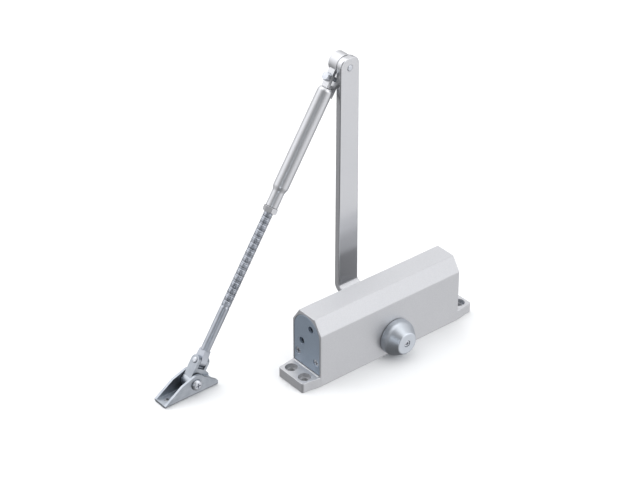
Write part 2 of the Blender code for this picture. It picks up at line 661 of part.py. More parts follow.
def make_spindle_cap(material, screw_material, joint, shaft_end):
    """The tapered cap, Z outward along -Y, over the front square, and its screw."""
    place = frame(SPINDLE, (0, -1, 0), (1, 0, 0))
    start = HALF_WIDTH + 0.4 * MM
    rim = start + CAP_RIM
    face = rim + CAP_CONE
    edge = 0.8 * MM
    profile = [
        (0, start), (CAP_RADIUS, start), (CAP_RADIUS, rim - edge), (CAP_RADIUS - edge * 0.4, rim),
        (CAP_FACE_RADIUS + edge * 0.5, face - edge * 0.6), (CAP_FACE_RADIUS - edge, face), (0, face),
    ]
    cap = add_object("spindle_cap", turned(profile, FINE), material, place, joint)
    socket_end = -shaft_end + SEAT_GAP
    combine(cap, cylinder(JOURNAL_RADIUS + 0.5 * MM, start - 1 * MM, HALF_WIDTH + 1.6 * MM), place)
    combine(cap, prism(square(FRONT_SQUARE + 2 * RUNNING_GAP), start - 1 * MM, socket_end), place)
    head, shank = CAP_SCREW_HEAD / 2, CAP_SCREW_SHANK / 2
    seat = face - 2.4 * MM
    hole = [(0, socket_end - 1 * MM), (shank + 0.2 * MM, socket_end - 1 * MM), (shank + 0.2 * MM, seat)]
    hole += [(head + 0.25 * MM, seat), (head + 0.25 * MM, face + 1 * MM), (0, face + 1 * MM)]
    combine(cap, turned(hole, COARSE), place)
    screw = [(0, face - 0.4 * MM), (head - 0.6 * MM, face - 0.4 * MM), (head, face - 1 * MM)]
    screw += [(head, seat + 0.2 * MM), (shank, seat + 0.2 * MM)]
    screw += [(shank, seat - 11 * MM), (0, seat - 12 * MM)]
    made = add_object("cap_screw", turned(screw, COARSE), screw_material, place, joint)
    cross_recess(made, place, face - 0.4 * MM, 2 * MM)


def cross_recess(screw, place, top, half_length):
    """A crossed driver slot cut 1.2 mm into a screw's head."""
    width = half_length * 0.24
    depth = 1.2 * MM
    arm_points = [(half_length, -width), (half_length, width), (width, width), (width, half_length)]
    outline = []
    for quarter in range(4):
        turn = Matrix.Rotation(quarter * math.pi / 2, 2)
        outline += [tuple(turn @ Vector(point)) for point in arm_points[:3]]
    combine(screw, prism(outline, top - depth, top + 1 * MM), place)


# ---- Main arm ------------------------------------------------------------------------------------
def make_main_arm(material, joint):
    """A flat bar joggled away from the body: its side profile met with its face outline."""
    foot_y = ARM_FOOT_FRONT + ARM_THICKNESS / 2
    long_y = ARM_OFFSET + ARM_THICKNESS / 2
    tip_high = ELBOW.z + ARM_TIP_REACH
    corners = [(foot_y, 0), (foot_y, ARM_FOOT_HEIGHT)]
    corners += [(long_y, ARM_BEND_HEIGHT), (long_y, tip_high + 2 * MM)]
    profile = strip(filleted(corners, ARM_BEND_RADIUS), ARM_THICKNESS)
    half = ARM_FOOT_WIDTH / 2 + 2 * MM
    along_x = frame((SPINDLE_X, 0, 0), (1, 0, 0), (0, 1, 0))
    arm = add_object("main_arm", prism(profile, -half, half), material, along_x, joint)
    tip_half = ARM_TIP_WIDTH / 2
    foot_radius = ARM_FOOT_WIDTH / 2
    outline = arc((0, SPINDLE_HEIGHT), foot_radius, 180, 360, 16)
    outline += arc((tip_half - ARM_TIP_CORNER, tip_high - ARM_TIP_CORNER), ARM_TIP_CORNER, 0, 90, 8)
    outline += arc((-tip_half + ARM_TIP_CORNER, tip_high - ARM_TIP_CORNER), ARM_TIP_CORNER, 90, 180, 8)
    facing = frame((SPINDLE_X, 0, 0), (0, -1, 0), (1, 0, 0))
    combine(arm, prism(outline, -ARM_BACK - 5 * MM, -HALF_WIDTH), facing, "INTERSECT")
    hole = prism(square(REAR_SQUARE + 2 * RUNNING_GAP), HALF_WIDTH, ARM_OFFSET)
    combine(arm, hole, frame(SPINDLE, (0, 1, 0), (1, 0, 0)))
    rivet_hole = cylinder(RIVET_DIAMETER / 2 + 0.1 * MM, ARM_OFFSET - 1 * MM, ARM_BACK + 1 * MM, COARSE)
    combine(arm, rivet_hole, frame(ELBOW, (0, 1, 0), (1, 0, 0)))


def make_arm_fasteners(steel, joint, shaft_end):
    place = frame(SPINDLE, (0, 1, 0), (1, 0, 0))
    start = ARM_FOOT_FRONT + ARM_THICKNESS + 0.25 * MM
    shank = ARM_BOLT_SHANK / 2
    add_object("arm_washer", ring(shank + 0.2 * MM, 9 * MM, start, start + 1.4 * MM), steel, place, joint)
    head_start = start + 1.4 * MM + 0.2 * MM
    head = prism(hexagon(ARM_BOLT_HEAD), head_start, head_start + 5.2 * MM)
    bolt = add_object("arm_bolt", head, steel, place, joint)
    combine(bolt, cylinder(shank, shaft_end - 13 * MM, head_start + 2 * MM, COARSE), place, "UNION")

    elbow = frame(ELBOW, (0, 1, 0), (1, 0, 0))
    radius = RIVET_DIAMETER / 2
    front = ARM_OFFSET - 0.5 * MM
    back = ARM_BACK + ELBOW_GAP + KNUCKLE_THICKNESS
    profile = [
        (0, front), (radius - 0.3 * MM, front), (radius, front + 0.3 * MM), (radius, back + 0.3 * MM),
        (5 * MM, back + 0.3 * MM), (4.4 * MM, back + 1.6 * MM), (0, back + 2 * MM),
    ]
    add_object("elbow_rivet", turned(profile, COARSE), steel, elbow, joint)
    washer = ring(radius + 0.1 * MM, 7 * MM, ARM_BACK + 0.2 * MM, ARM_BACK + ELBOW_GAP - 0.2 * MM)
    add_object("elbow_washer", washer, steel, elbow, joint)


# ---- Forearm -------------------------------------------------------------------------------------
def forearm_frame(at=0.0):
    """Z down the forearm, X outward in the plane of the arms, at this distance from its start."""
    return frame(FOREARM_START + DOWN * at, DOWN, OUTWARD)


def make_knuckle(cast_metal, steel, joint):
    """A drum round the elbow rivet with a lug that enters the tube, and the bolt through the lug."""
    drum_frame = frame(ELBOW_POINT, (0, 1, 0), (1, 0, 0))
    half = KNUCKLE_THICKNESS / 2
    edge = 0.6 * MM
    profile = [
        (0, -half), (KNUCKLE_RADIUS - edge, -half), (KNUCKLE_RADIUS, -half + edge),
        (KNUCKLE_RADIUS, half - edge), (KNUCKLE_RADIUS - edge, half), (0, half),
    ]
    knuckle = add_object("elbow_knuckle", turned(profile, MEDIUM), cast_metal, drum_frame, joint)
    lug = box((LUG_INNER, -4 * MM, 2 * MM), (LUG_OUTER, 4 * MM, TUBE_START + 1 * MM))
    combine(knuckle, lug, forearm_frame(), "UNION")
    tenon = box((-3.2 * MM, -3.2 * MM, TUBE_START - 2 * MM), (3.2 * MM, 3.2 * MM, TUBE_START + 7 * MM))
    combine(knuckle, tenon, forearm_frame(), "UNION")
    pin_hole = cylinder(RIVET_DIAMETER / 2 + RUNNING_GAP, -half - 1 * MM, half + 1 * MM, COARSE)
    combine(knuckle, pin_hole, drum_frame)
    bolt_frame = forearm_frame(KNUCKLE_BOLT_AT) @ Matrix.Rotation(math.pi / 2, 4, "Y")
    combine(knuckle, cylinder(2.3 * MM, -8 * MM, 8 * MM, 14), bolt_frame)
    head_start = LUG_OUTER + SEAT_GAP
    head = KNUCKLE_BOLT_HEAD / 2
    head_end = head_start + 4.4 * MM
    profile = [
        (0, head_end), (head - 1.2 * MM, head_end), (head, head_end - 1 * MM),
        (head, head_start), (2.1 * MM, head_start), (2.1 * MM, -8.4 * MM), (0, -8.4 * MM),
    ]
    add_object("knuckle_bolt", turned(profile, COARSE), steel, bolt_frame, joint)


def make_tube(material, joint):
    """The pressed tube: a wide barrel, a narrower neck, and a strap that runs up beside the lug."""
    place = forearm_frame()
    profile = [
        (TUBE_BORE, TUBE_START + 1.6 * MM), (TUBE_RADIUS - 2 * MM, TUBE_START + 1.6 * MM),
        (TUBE_RADIUS - 0.5 * MM, TUBE_START + 3.4 * MM), (TUBE_RADIUS, TUBE_START + 7 * MM),
        (TUBE_RADIUS, TUBE_STEP), (NECK_RADIUS, TUBE_STEP + 4 * MM),
        (NECK_RADIUS, TUBE_END), (TUBE_BORE, TUBE_END),
    ]
    tube = add_object("forearm_tube", turned(profile, MEDIUM), material, place, joint)
    inner = -TUBE_BORE - 0.15 * MM
    low = KNUCKLE_BOLT_AT - 5.6 * MM
    half = STRAP_WIDTH / 2
    strap = box((inner - STRAP_THICKNESS, -half, low), (inner, half, TUBE_START + 9 * MM))
    combine(tube, strap, place, "UNION")
    bolt_frame = forearm_frame(KNUCKLE_BOLT_AT) @ Matrix.Rotation(math.pi / 2, 4, "Y")
    combine(tube, cylinder(2.3 * MM, -12 * MM, -3 * MM, 14), bolt_frame)


def make_rod(material, nut_material, joint, rod_joint, nut_joint):
    place = forearm_frame()
    nut_low = TUBE_END + 0.25 * MM
    edge = 0.7 * MM
    nut_high = nut_low + NUT_LENGTH
    bore = THREAD_RADIUS + RUNNING_GAP
    profile = [
        (bore, nut_low), (NUT_RADIUS - edge, nut_low), (NUT_RADIUS, nut_low + edge),
        (NUT_RADIUS, nut_high - edge), (NUT_RADIUS - edge, nut_high), (bore, nut_high),
    ]
    add_object("lock_nut", turned(profile, MEDIUM), nut_material, place, nut_joint)

    shank_end = EYE_AT - EYE_LENGTH + 1 * MM
    profile = [
        (0, ROD_START), (THREAD_RADIUS - 1 * MM, ROD_START), (THREAD_RADIUS, ROD_START + 1.2 * MM),
        (THREAD_RADIUS, THREAD_END), (SHANK_RADIUS, THREAD_END + 1 * MM),
        (SHANK_RADIUS, shank_end), (0, shank_end),
    ]
    rod = add_object("adjusting_rod", turned(profile, COARSE), material, place, rod_joint)
    outline = arc((0, 0), EYE_RADIUS, -90, 90, 12)
    outline += [(-EYE_LENGTH, SHANK_RADIUS - 0.6 * MM), (-EYE_LENGTH, -SHANK_RADIUS + 0.6 * MM)]
    eye_frame = frame(FOREARM_START + DOWN * EYE_AT, OUTWARD, DOWN)
    eye = prism(outline, -EYE_HALF_THICKNESS, EYE_HALF_THICKNESS)
    combine(rod, eye, eye_frame, "UNION")
    hole = cylinder(EYE_PIN / 2 + RUNNING_GAP, -EYE_RADIUS, EYE_RADIUS, COARSE)
    combine(rod, hole, eye_frame)
    return eye_frame


# ---- Link and shoe -------------------------------------------------------------------------------
def make_link(material, steel, joint, eye_frame):
    """A fork round the rod's eye, on a boss round the shoe's screw."""
    inner = EYE_HALF_THICKNESS + SEAT_GAP
    outer = inner + LEAF_THICKNESS
    half = LINK_WIDTH / 2
    place = frame(SHOE_PIVOT, (0, 1, 0), DOWN_PLANE)
    link = add_object("shoe_link", cylinder(LINK_BOSS_RADIUS, -half, half), material, place, joint)
    eye_bottom = EYE_RADIUS + 0.9 * MM  # below the eye's centre
    outline = arc((0, 0), half, 90, 270, 12)
    outline += [(EYE_FROM_PIVOT - 3 * MM, -half), (EYE_FROM_PIVOT - 3 * MM, half)]
    combine(link, prism(outline, -outer, outer), eye_frame, "UNION")
    slot = [(-half - 2 * MM, -half - 1 * MM), (eye_bottom, -half - 1 * MM)]
    slot += [(eye_bottom, half + 1 * MM), (-half - 2 * MM, half + 1 * MM)]
    combine(link, prism(slot, -inner, inner), eye_frame)
    pin_hole = cylinder(EYE_PIN / 2 + 0.1 * MM, -outer - 1 * MM, outer + 1 * MM, COARSE)
    combine(link, pin_hole, eye_frame)
    bore = cylinder(SHOE_SCREW / 2 + RUNNING_GAP, -half - 1 * MM, half + 1 * MM, COARSE)
    combine(link, bore, place)
    pin = EYE_PIN / 2
    head = pin + 0.6 * MM
    end = outer + 0.25 * MM
    profile = [
        (0, -end - 1 * MM), (head - 0.6 * MM, -end - 0.8 * MM), (head, -end), (pin, -end),
        (pin, end), (head, end), (head - 0.6 * MM, end + 0.8 * MM), (0, end + 1 * MM),
    ]
    add_object("rod_rivet", turned(profile, COARSE), steel, eye_frame, joint)


def shoe_side():
    """Side outline of a shoe wall about the pivot, X along the shoe and Y up."""
    floor = -SHOE_PIVOT_HEIGHT
    apex = arc((0.5 * MM, 0), SHOE_APEX_RADIUS, 118, 28, 8)
    front = [(13.6 * MM, 2.2 * MM), (SHOE_FRONT - 1 * MM, -5 * MM)]
    front += [(SHOE_FRONT, -6.6 * MM), (SHOE_FRONT, floor)]
    back = [(-SHOE_BACK, floor), (-SHOE_BACK, floor + SHOE_WALL), (-16 * MM, 4.6 * MM)]
    return back + apex + front


def make_shoe(material, steel, joint):
    half = SHOE_WIDTH / 2
    place = frame(SHOE_PIVOT, (0, -1, 0), (1, 0, 0))
    shoe = add_object("shoe_bracket", prism(shoe_side(), -half, half), material, place, joint)
    inside = half - SHOE_WALL
    base = SHOE_WALL - SHOE_PIVOT_HEIGHT
    top = SHOE_APEX_RADIUS + 3 * MM
    channel = box((-SHOE_BACK - 1 * MM, base, -inside), (SHOE_FRONT + 1 * MM, top, inside))
    combine(shoe, channel, place)
    radius = SHOE_SCREW / 2
    combine(shoe, cylinder(radius + 0.1 * MM, -half - 1 * MM, half + 1 * MM, COARSE), place)
    for x in (-SHOE_BACK + SHOE_HOLE_FROM_END, SHOE_FRONT - SHOE_HOLE_FROM_END):
        hole = cylinder(SHOE_HOLE / 2, -1 * MM, SHOE_WALL + 1 * MM, COARSE)
        combine(shoe, hole, Matrix.Translation((SHOE_PIVOT.x + x, SHOE_PIVOT.y, 0)))

    head = SHOE_SCREW_HEAD / 2
    start = half + 0.25 * MM
    thread_end = -half - 5.4 * MM
    profile = [
        (0, start + 2.8 * MM), (head - 1.6 * MM, start + 2.6 * MM), (head - 0.4 * MM, start + 1.6 * MM),
        (head, start), (radius, start), (radius, thread_end), (0, thread_end),
    ]
    screw = add_object("shoe_screw", turned(profile, 20), steel, place, joint)
    cross_recess(screw, place, start + 2.8 * MM, 2.6 * MM)
    blank = prism(hexagon(SHOE_NUT), -half - 4.6 * MM, -half - 0.25 * MM)
    nut = add_object("shoe_nut", blank, steel, place, joint)
    combine(nut, cylinder(radius + RUNNING_GAP, -half - 6 * MM, -half + 1 * MM, COARSE), place)


def main():
    clear_scene()
    silver_paint = finish("silver_paint", (0.55, 0.56, 0.58), 0.42, 0.6)
    cover_paint = finish("cover_paint", (0.42, 0.45, 0.5), 0.45, 0.5)
    zinc = finish("bright_zinc", (0.6, 0.61, 0.63), 0.3, 1.0)
    steel = finish("machined_steel", (0.45, 0.45, 0.46), 0.35, 1.0)
    satin = finish("satin_cap", (0.6, 0.61, 0.63), 0.28, 1.0)
    bronze = finish("bearing_bronze", (0.5, 0.3, 0.12), 0.4, 1.0)
    rubber = finish("nitrile_rubber", (0.02, 0.02, 0.02), 0.7, 0.0)

    make_housing(silver_paint)
    make_end_covers(cover_paint, zinc)
    make_plugs(steel, rubber)
    make_valves(zinc, rubber)
    piston_low = make_piston(steel, rubber, steel)
    make_spring(steel, piston_low)

    spindle_joint = joint_empty("spindle_joint", Matrix.Translation(SPINDLE))
    front_end, rear_end = make_spindle(steel, spindle_joint)
    make_bearings(bronze, rubber, steel)
    make_spindle_cap(satin, zinc, spindle_joint, front_end)
    make_main_arm(silver_paint, spindle_joint)
    make_arm_fasteners(zinc, spindle_joint, rear_end)

    elbow_joint = joint_empty("elbow_joint", Matrix.Translation(ELBOW_POINT), spindle_joint)
    make_knuckle(silver_paint, zinc, elbow_joint)
    make_tube(silver_paint, elbow_joint)
    nut_joint = joint_empty("lock_nut_joint", forearm_frame(TUBE_END), elbow_joint)
    rod_joint = joint_empty("rod_joint", forearm_frame(ROD_START), elbow_joint)
    eye_frame = make_rod(zinc, silver_paint, elbow_joint, rod_joint, nut_joint)
    link_joint = joint_empty("link_joint", Matrix.Translation(FOREARM_START + DOWN * EYE_AT), rod_joint)
    make_link(zinc, steel, link_joint, eye_frame)
    shoe_joint = joint_empty("shoe_joint", Matrix.Translation(SHOE_PIVOT), link_joint)
    make_shoe(zinc, steel, shoe_joint)


main()
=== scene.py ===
# %% [markdown]
# # The looks of a surface door closer
# A door closer is a cast body full of oil, with a folding arm that ties it to the door frame. The packed
# model already holds every piece at its size and place, and moves them. This lesson gives those pieces the
# meshes and finishes that a close look needs: rounded edges, real threads and driver slots, sprayed enamel,
# bright zinc and turned steel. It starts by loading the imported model, which is never moved.

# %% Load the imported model
import json
import math

import bmesh
import bpy
from mathutils import Matrix, Vector


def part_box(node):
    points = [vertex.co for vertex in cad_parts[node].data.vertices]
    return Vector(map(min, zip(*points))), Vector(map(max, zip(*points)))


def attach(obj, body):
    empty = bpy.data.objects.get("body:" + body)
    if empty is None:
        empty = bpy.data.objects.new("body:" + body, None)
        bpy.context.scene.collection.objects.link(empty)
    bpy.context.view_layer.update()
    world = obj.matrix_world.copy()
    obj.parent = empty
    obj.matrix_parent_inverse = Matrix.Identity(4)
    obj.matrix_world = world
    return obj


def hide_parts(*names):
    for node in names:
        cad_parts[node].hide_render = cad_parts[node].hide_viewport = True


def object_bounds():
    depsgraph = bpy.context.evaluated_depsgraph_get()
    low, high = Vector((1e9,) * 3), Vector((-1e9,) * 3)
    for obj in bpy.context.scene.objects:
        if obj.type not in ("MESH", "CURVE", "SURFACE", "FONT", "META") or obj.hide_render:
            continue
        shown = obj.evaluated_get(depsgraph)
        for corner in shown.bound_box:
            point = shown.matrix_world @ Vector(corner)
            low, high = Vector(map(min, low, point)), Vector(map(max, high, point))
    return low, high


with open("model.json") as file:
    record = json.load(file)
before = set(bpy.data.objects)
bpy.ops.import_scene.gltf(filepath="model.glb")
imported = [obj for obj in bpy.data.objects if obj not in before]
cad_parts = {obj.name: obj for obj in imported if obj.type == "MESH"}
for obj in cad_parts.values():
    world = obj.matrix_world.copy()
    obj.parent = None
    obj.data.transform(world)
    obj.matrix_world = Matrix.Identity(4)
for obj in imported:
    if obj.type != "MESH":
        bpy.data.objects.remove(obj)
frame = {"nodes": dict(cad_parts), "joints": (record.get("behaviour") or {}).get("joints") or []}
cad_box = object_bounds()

MM = 0.001
joints = {joint["name"]: joint for joint in frame["joints"]}


def box(node):
    """The lowest and highest corner of a node, as vectors."""
    low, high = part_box(node)
    return Vector(low), Vector(high)


# %% [markdown]
# ## Helpers for materials
# A maker's colour chart gives sRGB hex codes, but a shader adds up light, so each code is turned to linear
# values first. Every material and every Geometry Nodes tree here is built by one small function that adds a
# node, sets it and links it. A link is given as a socket in place of a number.

# %% Colours and nodes


def linear(code):
    """An sRGB hex colour as linear RGBA."""
    values = [int(code[i : i + 2], 16) / 255 for i in (1, 3, 5)]
    return [v / 12.92 if v <= 0.04045 else ((v + 0.055) / 1.055) ** 2.4 for v in values] + [1.0]


def add(tree, kind, settings=None, inputs=None):
    """Adds a node to the tree with its settings, and its inputs as values or as sockets to link."""
    made = tree.nodes.new(kind)
    for name, value in (settings or {}).items():
        setattr(made, name, value)
    for name, value in (inputs or {}).items():
        if isinstance(value, bpy.types.NodeSocket):
            tree.links.new(value, made.inputs[name])
        else:
            made.inputs[name].default_value = value
    return made


def principled(name, **values):
    """A new material, its node tree and its shader, with constants set on the shader's own sockets."""
    made = bpy.data.materials.new(name)
    made.use_nodes = True
    shader = made.node_tree.nodes["Principled BSDF"]
    for socket, value in values.items():
        shader.inputs[socket.replace("_", " ")].default_value = value
    return made, made.node_tree, shader


def coloured(tree, shader, factor, dark, light):
    """A base colour that runs from dark to light with the factor."""
    tint = add(tree, "ShaderNodeMix", {"data_type": "RGBA"},
               {"Factor": factor, 6: linear(dark), 7: linear(light)})
    tree.links.new(tint.outputs[2], shader.inputs["Base Color"])


def glossed(tree, shader, factor, low, high):
    """A roughness that runs from low to high with the factor."""
    gloss = add(tree, "ShaderNodeMapRange", inputs={"Value": factor, 3: low, 4: high})
    tree.links.new(gloss.outputs[0], shader.inputs["Roughness"])


def bumped(tree, shader, height, strength, depth):
    bump = add(tree, "ShaderNodeBump", inputs={"Strength": strength, "Distance": depth, "Height": height})
    tree.links.new(bump.outputs[0], shader.inputs["Normal"])


# %% [markdown]
# ## Sprayed silver enamel
# The body, its end covers and the arms are sprayed with a silver enamel: clear resin full of tiny aluminium
# flakes. That reads as a soft grey with a broad sheen, a faint sparkle, and a skin that is not quite flat,
# which painters call orange peel. The flakes are drawn at 0.5 mm and the skin's waves at 1.6 mm, both coarser
# than real, because finer ones would vanish at the distance the object is seen from. The end covers get a
# darker,
# bluer copy of it. That is painted shade: it stands in for the blue shade on the ends that face away from the
# light.

# %% Enamel

FLAKE = 0.5 * MM
PEEL = 1.6 * MM


def sprayed_enamel(name, light, dark, roughness, metallic=0.55):
    made, tree, shader = principled(name, Metallic=metallic, Coat_Weight=0.12, Coat_Roughness=0.35)
    place = add(tree, "ShaderNodeTexCoord").outputs["Object"]
    flakes = add(tree, "ShaderNodeTexVoronoi", inputs={"Vector": place, "Scale": 1 / FLAKE})
    drift = add(tree, "ShaderNodeTexNoise", inputs={"Vector": place, "Scale": 1 / (45 * MM), "Detail": 3.0})
    speck = add(tree, "ShaderNodeSeparateColor", inputs={"Color": flakes.outputs["Color"]})
    spread = add(tree, "ShaderNodeMath", {"operation": "MULTIPLY"}, {0: speck.outputs["Red"], 1: 0.45})
    share = add(tree, "ShaderNodeMath", {"operation": "MULTIPLY_ADD", "use_clamp": True},
                {0: drift.outputs["Fac"], 1: 0.55, 2: spread.outputs[0]})
    coloured(tree, shader, share.outputs[0], dark, light)
    glossed(tree, shader, drift.outputs["Fac"], roughness - 0.05, roughness + 0.07)
    skin = add(tree, "ShaderNodeTexNoise", inputs={"Vector": place, "Scale": 1 / PEEL, "Detail": 2.0})
    bumped(tree, shader, skin.outputs["Fac"], 0.12, 0.05 * MM)
    return made


body_enamel = sprayed_enamel("sprayed silver enamel", "#CBCCCE", "#BBBCBF", 0.40)
# painted shade: a darker, bluer copy of the body enamel for the end covers, standing in for the shade on the
# body's ends
shaded_cover_enamel = sprayed_enamel("sprayed enamel with painted end shade", "#A9B6C4", "#93A2B2", 0.44)
arm_enamel = sprayed_enamel("sprayed arm enamel", "#CCCDCF", "#BFC0C3", 0.2, metallic=0.9)
tube_enamel = sprayed_enamel("sprayed tube enamel", "#CFD0D2", "#C2C3C6", 0.34, metallic=0.85)
print("enamels:", body_enamel.name, shaded_cover_enamel.name, arm_enamel.name, tube_enamel.name)

# %% [markdown]
# ## Bright zinc
# The rod, the link, the shoe and the fasteners are zinc plated. Plating follows every tool mark under it, so
# the shine is broken along the direction that the metal was drawn, and passivation leaves cloudy patches a
# few millimetres wide. The marks are noise stretched along one axis, with the Mapping node's scale doing the
# stretching.

# %% Zinc


def zinc_plate(name, light, dark, roughness, stretch=(1, 1, 12), turn=(0, 0, 0)):
    """Zinc over drawn metal. turn aims the drawing marks, which run where stretch is longest."""
    made, tree, shader = principled(name, Metallic=1.0)
    place = add(tree, "ShaderNodeTexCoord").outputs["Object"]
    aimed = add(tree, "ShaderNodeMapping", {"vector_type": "TEXTURE"},
                {"Vector": place, "Rotation": turn, "Scale": stretch})
    marks = add(tree, "ShaderNodeTexNoise", inputs={
        "Vector": aimed.outputs[0], "Scale": 1 / (0.9 * MM), "Detail": 4.0})
    cloud = add(tree, "ShaderNodeTexNoise", inputs={"Vector": place, "Scale": 1 / (7 * MM), "Detail": 4.0})
    both = add(tree, "ShaderNodeMath", {"operation": "MULTIPLY_ADD", "use_clamp": True},
               {0: marks.outputs["Fac"], 1: 0.5, 2: cloud.outputs["Fac"]})
    ranged = add(tree, "ShaderNodeMapRange", inputs={"Value": both.outputs[0], 1: 0.45, 2: 1.05})
    coloured(tree, shader, ranged.outputs[0], dark, light)
    glossed(tree, shader, cloud.outputs["Fac"], roughness - 0.06, roughness + 0.1)
    bumped(tree, shader, marks.outputs["Fac"], 0.25, 0.03 * MM)
    return made


forearm_down = Vector(joints["rod_slide"]["axis"])
forearm_turn = forearm_down.to_track_quat("Z", "Y").to_euler()
rod_zinc = zinc_plate("zinc plated drawn rod", "#BDC1C8", "#9FA4AC", 0.34, turn=forearm_turn)
shoe_zinc = zinc_plate("zinc plated pressed steel", "#B0B5BB", "#92989F", 0.33, stretch=(12, 1, 1))
screw_zinc = zinc_plate("zinc plated screws", "#D2D5DA", "#B4B8BF", 0.27, stretch=(1, 1, 1))
print("zinc finishes aimed", [round(math.degrees(a)) for a in forearm_turn], "degrees")

# %% [markdown]
# ## Turned steel
# The round cap over the spindle is turned on a lathe and left satin. The tool leaves rings round the axis, so
# the pattern has to depend only on the distance from that axis and the distance along it. Those two numbers
# go into a noise as its X and Y, which turns any grain into rings. The same finish, less bright, suits the
# shafts, plugs and piston inside.

# %% Turned steel


def turned_steel(name, axis, along, light, dark, roughness, ring=0.35 * MM, depth=0.02 * MM):
    """Rings round the line through axis that runs along "X" or "Y"."""
    made, tree, shader = principled(name, Metallic=1.0)
    place = add(tree, "ShaderNodeTexCoord").outputs["Object"]
    centred = add(tree, "ShaderNodeMapping", inputs={"Vector": place, "Location": [-v for v in axis]})
    parts = add(tree, "ShaderNodeSeparateXYZ", inputs={"Vector": centred.outputs[0]})
    across = "X" if along == "Y" else "Y"
    flat = add(tree, "ShaderNodeCombineXYZ", inputs={0: parts.outputs[across], 1: parts.outputs["Z"]})
    radius = add(tree, "ShaderNodeVectorMath", {"operation": "LENGTH"}, {0: flat.outputs[0]})
    rings = add(tree, "ShaderNodeCombineXYZ", inputs={0: radius.outputs["Value"], 1: parts.outputs[along]})
    grain = add(tree, "ShaderNodeTexNoise", inputs={
        "Vector": rings.outputs[0], "Scale": 1 / ring, "Detail": 3.0})
    coloured(tree, shader, grain.outputs["Fac"], dark, light)
    glossed(tree, shader, grain.outputs["Fac"], roughness - 0.05, roughness + 0.08)
    bumped(tree, shader, grain.outputs["Fac"], 0.3, depth)
    return made


spindle_at = Vector(joints["spindle_turn"]["pos_m"])
bore_at = (box("piston")[0] + box("piston")[1]) / 2
cap_steel = turned_steel("satin turned cap steel", spindle_at, "Y", "#CED3D9", "#BEC4CB", 0.38,
                         ring=0.5 * MM, depth=0.006 * MM)
shaft_steel = turned_steel("ground shaft steel", spindle_at, "Y", "#B4B4B6", "#9B9B9E", 0.3)
cylinder_steel = turned_steel("turned cylinder steel", bore_at, "X", "#ACADB0", "#909195", 0.34)
print("turned finishes round", [round(v / MM, 1) for v in spindle_at], "mm")

# %% [markdown]
# ## Bronze, spring steel and rubber
# Three finishes are only met when the closer is taken apart. Bearing bronze is pressed from powder, so it is
# pitted and dull. Spring wire is oil tempered, which leaves a brown-black skin. Nitrile rubber seals are
# moulded: black, soft-edged and a little greasy.

# %% Hidden finishes


def mottled(name, light, dark, roughness, metallic, grain, depth):
    """A finish that varies by soft spots of one size."""
    made, tree, shader = principled(name, Metallic=metallic)
    place = add(tree, "ShaderNodeTexCoord").outputs["Object"]
    spots = add(tree, "ShaderNodeTexNoise", inputs={"Vector": place, "Scale": 1 / grain, "Detail": 5.0})
    coloured(tree, shader, spots.outputs["Fac"], dark, light)
    glossed(tree, shader, spots.outputs["Fac"], roughness + 0.08, roughness - 0.08)
    bumped(tree, shader, spots.outputs["Fac"], 0.4, depth)
    return made


bronze = mottled("sintered bearing bronze", "#C79A62", "#8F6A3E", 0.45, 1.0, 0.6 * MM, 0.05 * MM)
tempered = mottled("oil tempered spring wire", "#4A4642", "#2C2A29", 0.4, 0.8, 1.5 * MM, 0.02 * MM)
nitrile = mottled("moulded nitrile rubber", "#26272A", "#17181A", 0.6, 0.0, 1.2 * MM, 0.02 * MM)
print("hidden finishes:", bronze.name, tempered.name, nitrile.name)

# %% [markdown]
# ## Helpers for meshes
# Most pieces of a closer are either turned or cut from bar and plate. A turned piece is a profile spun round
# Z, and a cut one is an outline pushed along Z; both are then put in place by one matrix, so that the
# object itself stays at the origin. Booleans cut holes and join lugs. Real edges are never knife sharp, so a
# bevel rounds them last, and weighted normals keep the flats flat beside it.

# %% Outlines and solids


def aim(origin, axis, across):
    """A matrix at origin whose Z runs along axis, with X as near to across as it can be."""
    z = Vector(axis).normalized()
    y = z.cross(Vector(across)).normalized()
    matrix = Matrix((y.cross(z), y, z)).transposed().to_4x4()
    matrix.translation = Vector(origin)
    return matrix


def arc(centre, radius, start, end, steps):
    """Points of an arc, angles in degrees, both ends included."""
    angles = [math.radians(start + (end - start) * i / steps) for i in range(steps + 1)]
    return [(centre[0] + radius * math.cos(a), centre[1] + radius * math.sin(a)) for a in angles]


def spun(profile, steps=96):
    """A turned solid about Z. profile lists (radius, z); it ends on the axis or is a closed ring."""
    bm = bmesh.new()
    rings = []
    for radius, z in profile:
        turns = [2 * math.pi * i / steps for i in range(steps)] if radius else [0]
        rings.append([bm.verts.new((radius * math.cos(a), radius * math.sin(a), z)) for a in turns])
    closed = all(len(ring) > 1 for ring in rings)
    for i in range(len(rings) - (0 if closed else 1)):
        first, second = rings[i], rings[(i + 1) % len(rings)]
        for j in range(steps):
            k = (j + 1) % steps
            corners = [first[j % len(first)], first[k % len(first)]]
            corners += [second[k % len(second)], second[j % len(second)]]
            bm.faces.new(list(dict.fromkeys(corners)))
    return bm


def round_bar(radius, low, high, steps=96):
    """A plain cylinder about Z."""
    return spun([(0, low), (radius, low), (radius, high), (0, high)], steps)


def rectangle(low, high):
    return [(low[0], low[1]), (high[0], low[1]), (high[0], high[1]), (low[0], high[1])]


def pushed(outline, low, high):
    """An outline in XY pushed along Z from low to high."""
    bm = bmesh.new()
    bottom = bm.faces.new([bm.verts.new((x, y, low)) for x, y in outline])
    top = bmesh.ops.extrude_face_region(bm, geom=[bottom])
    raised = [v for v in top["geom"] if isinstance(v, bmesh.types.BMVert)]
    bmesh.ops.translate(bm, verts=raised, vec=(0, 0, high - low))
    return bm


def block(low, high):
    return pushed(rectangle(low, high), low[2], high[2])


print("a 10 mm bar has", len(round_bar(5 * MM, 0, 1).faces), "faces")

# %% Placing, cutting and rounding


def new_object(name, data):
    obj = bpy.data.objects.new(name, data)
    bpy.context.scene.collection.objects.link(obj)
    return obj


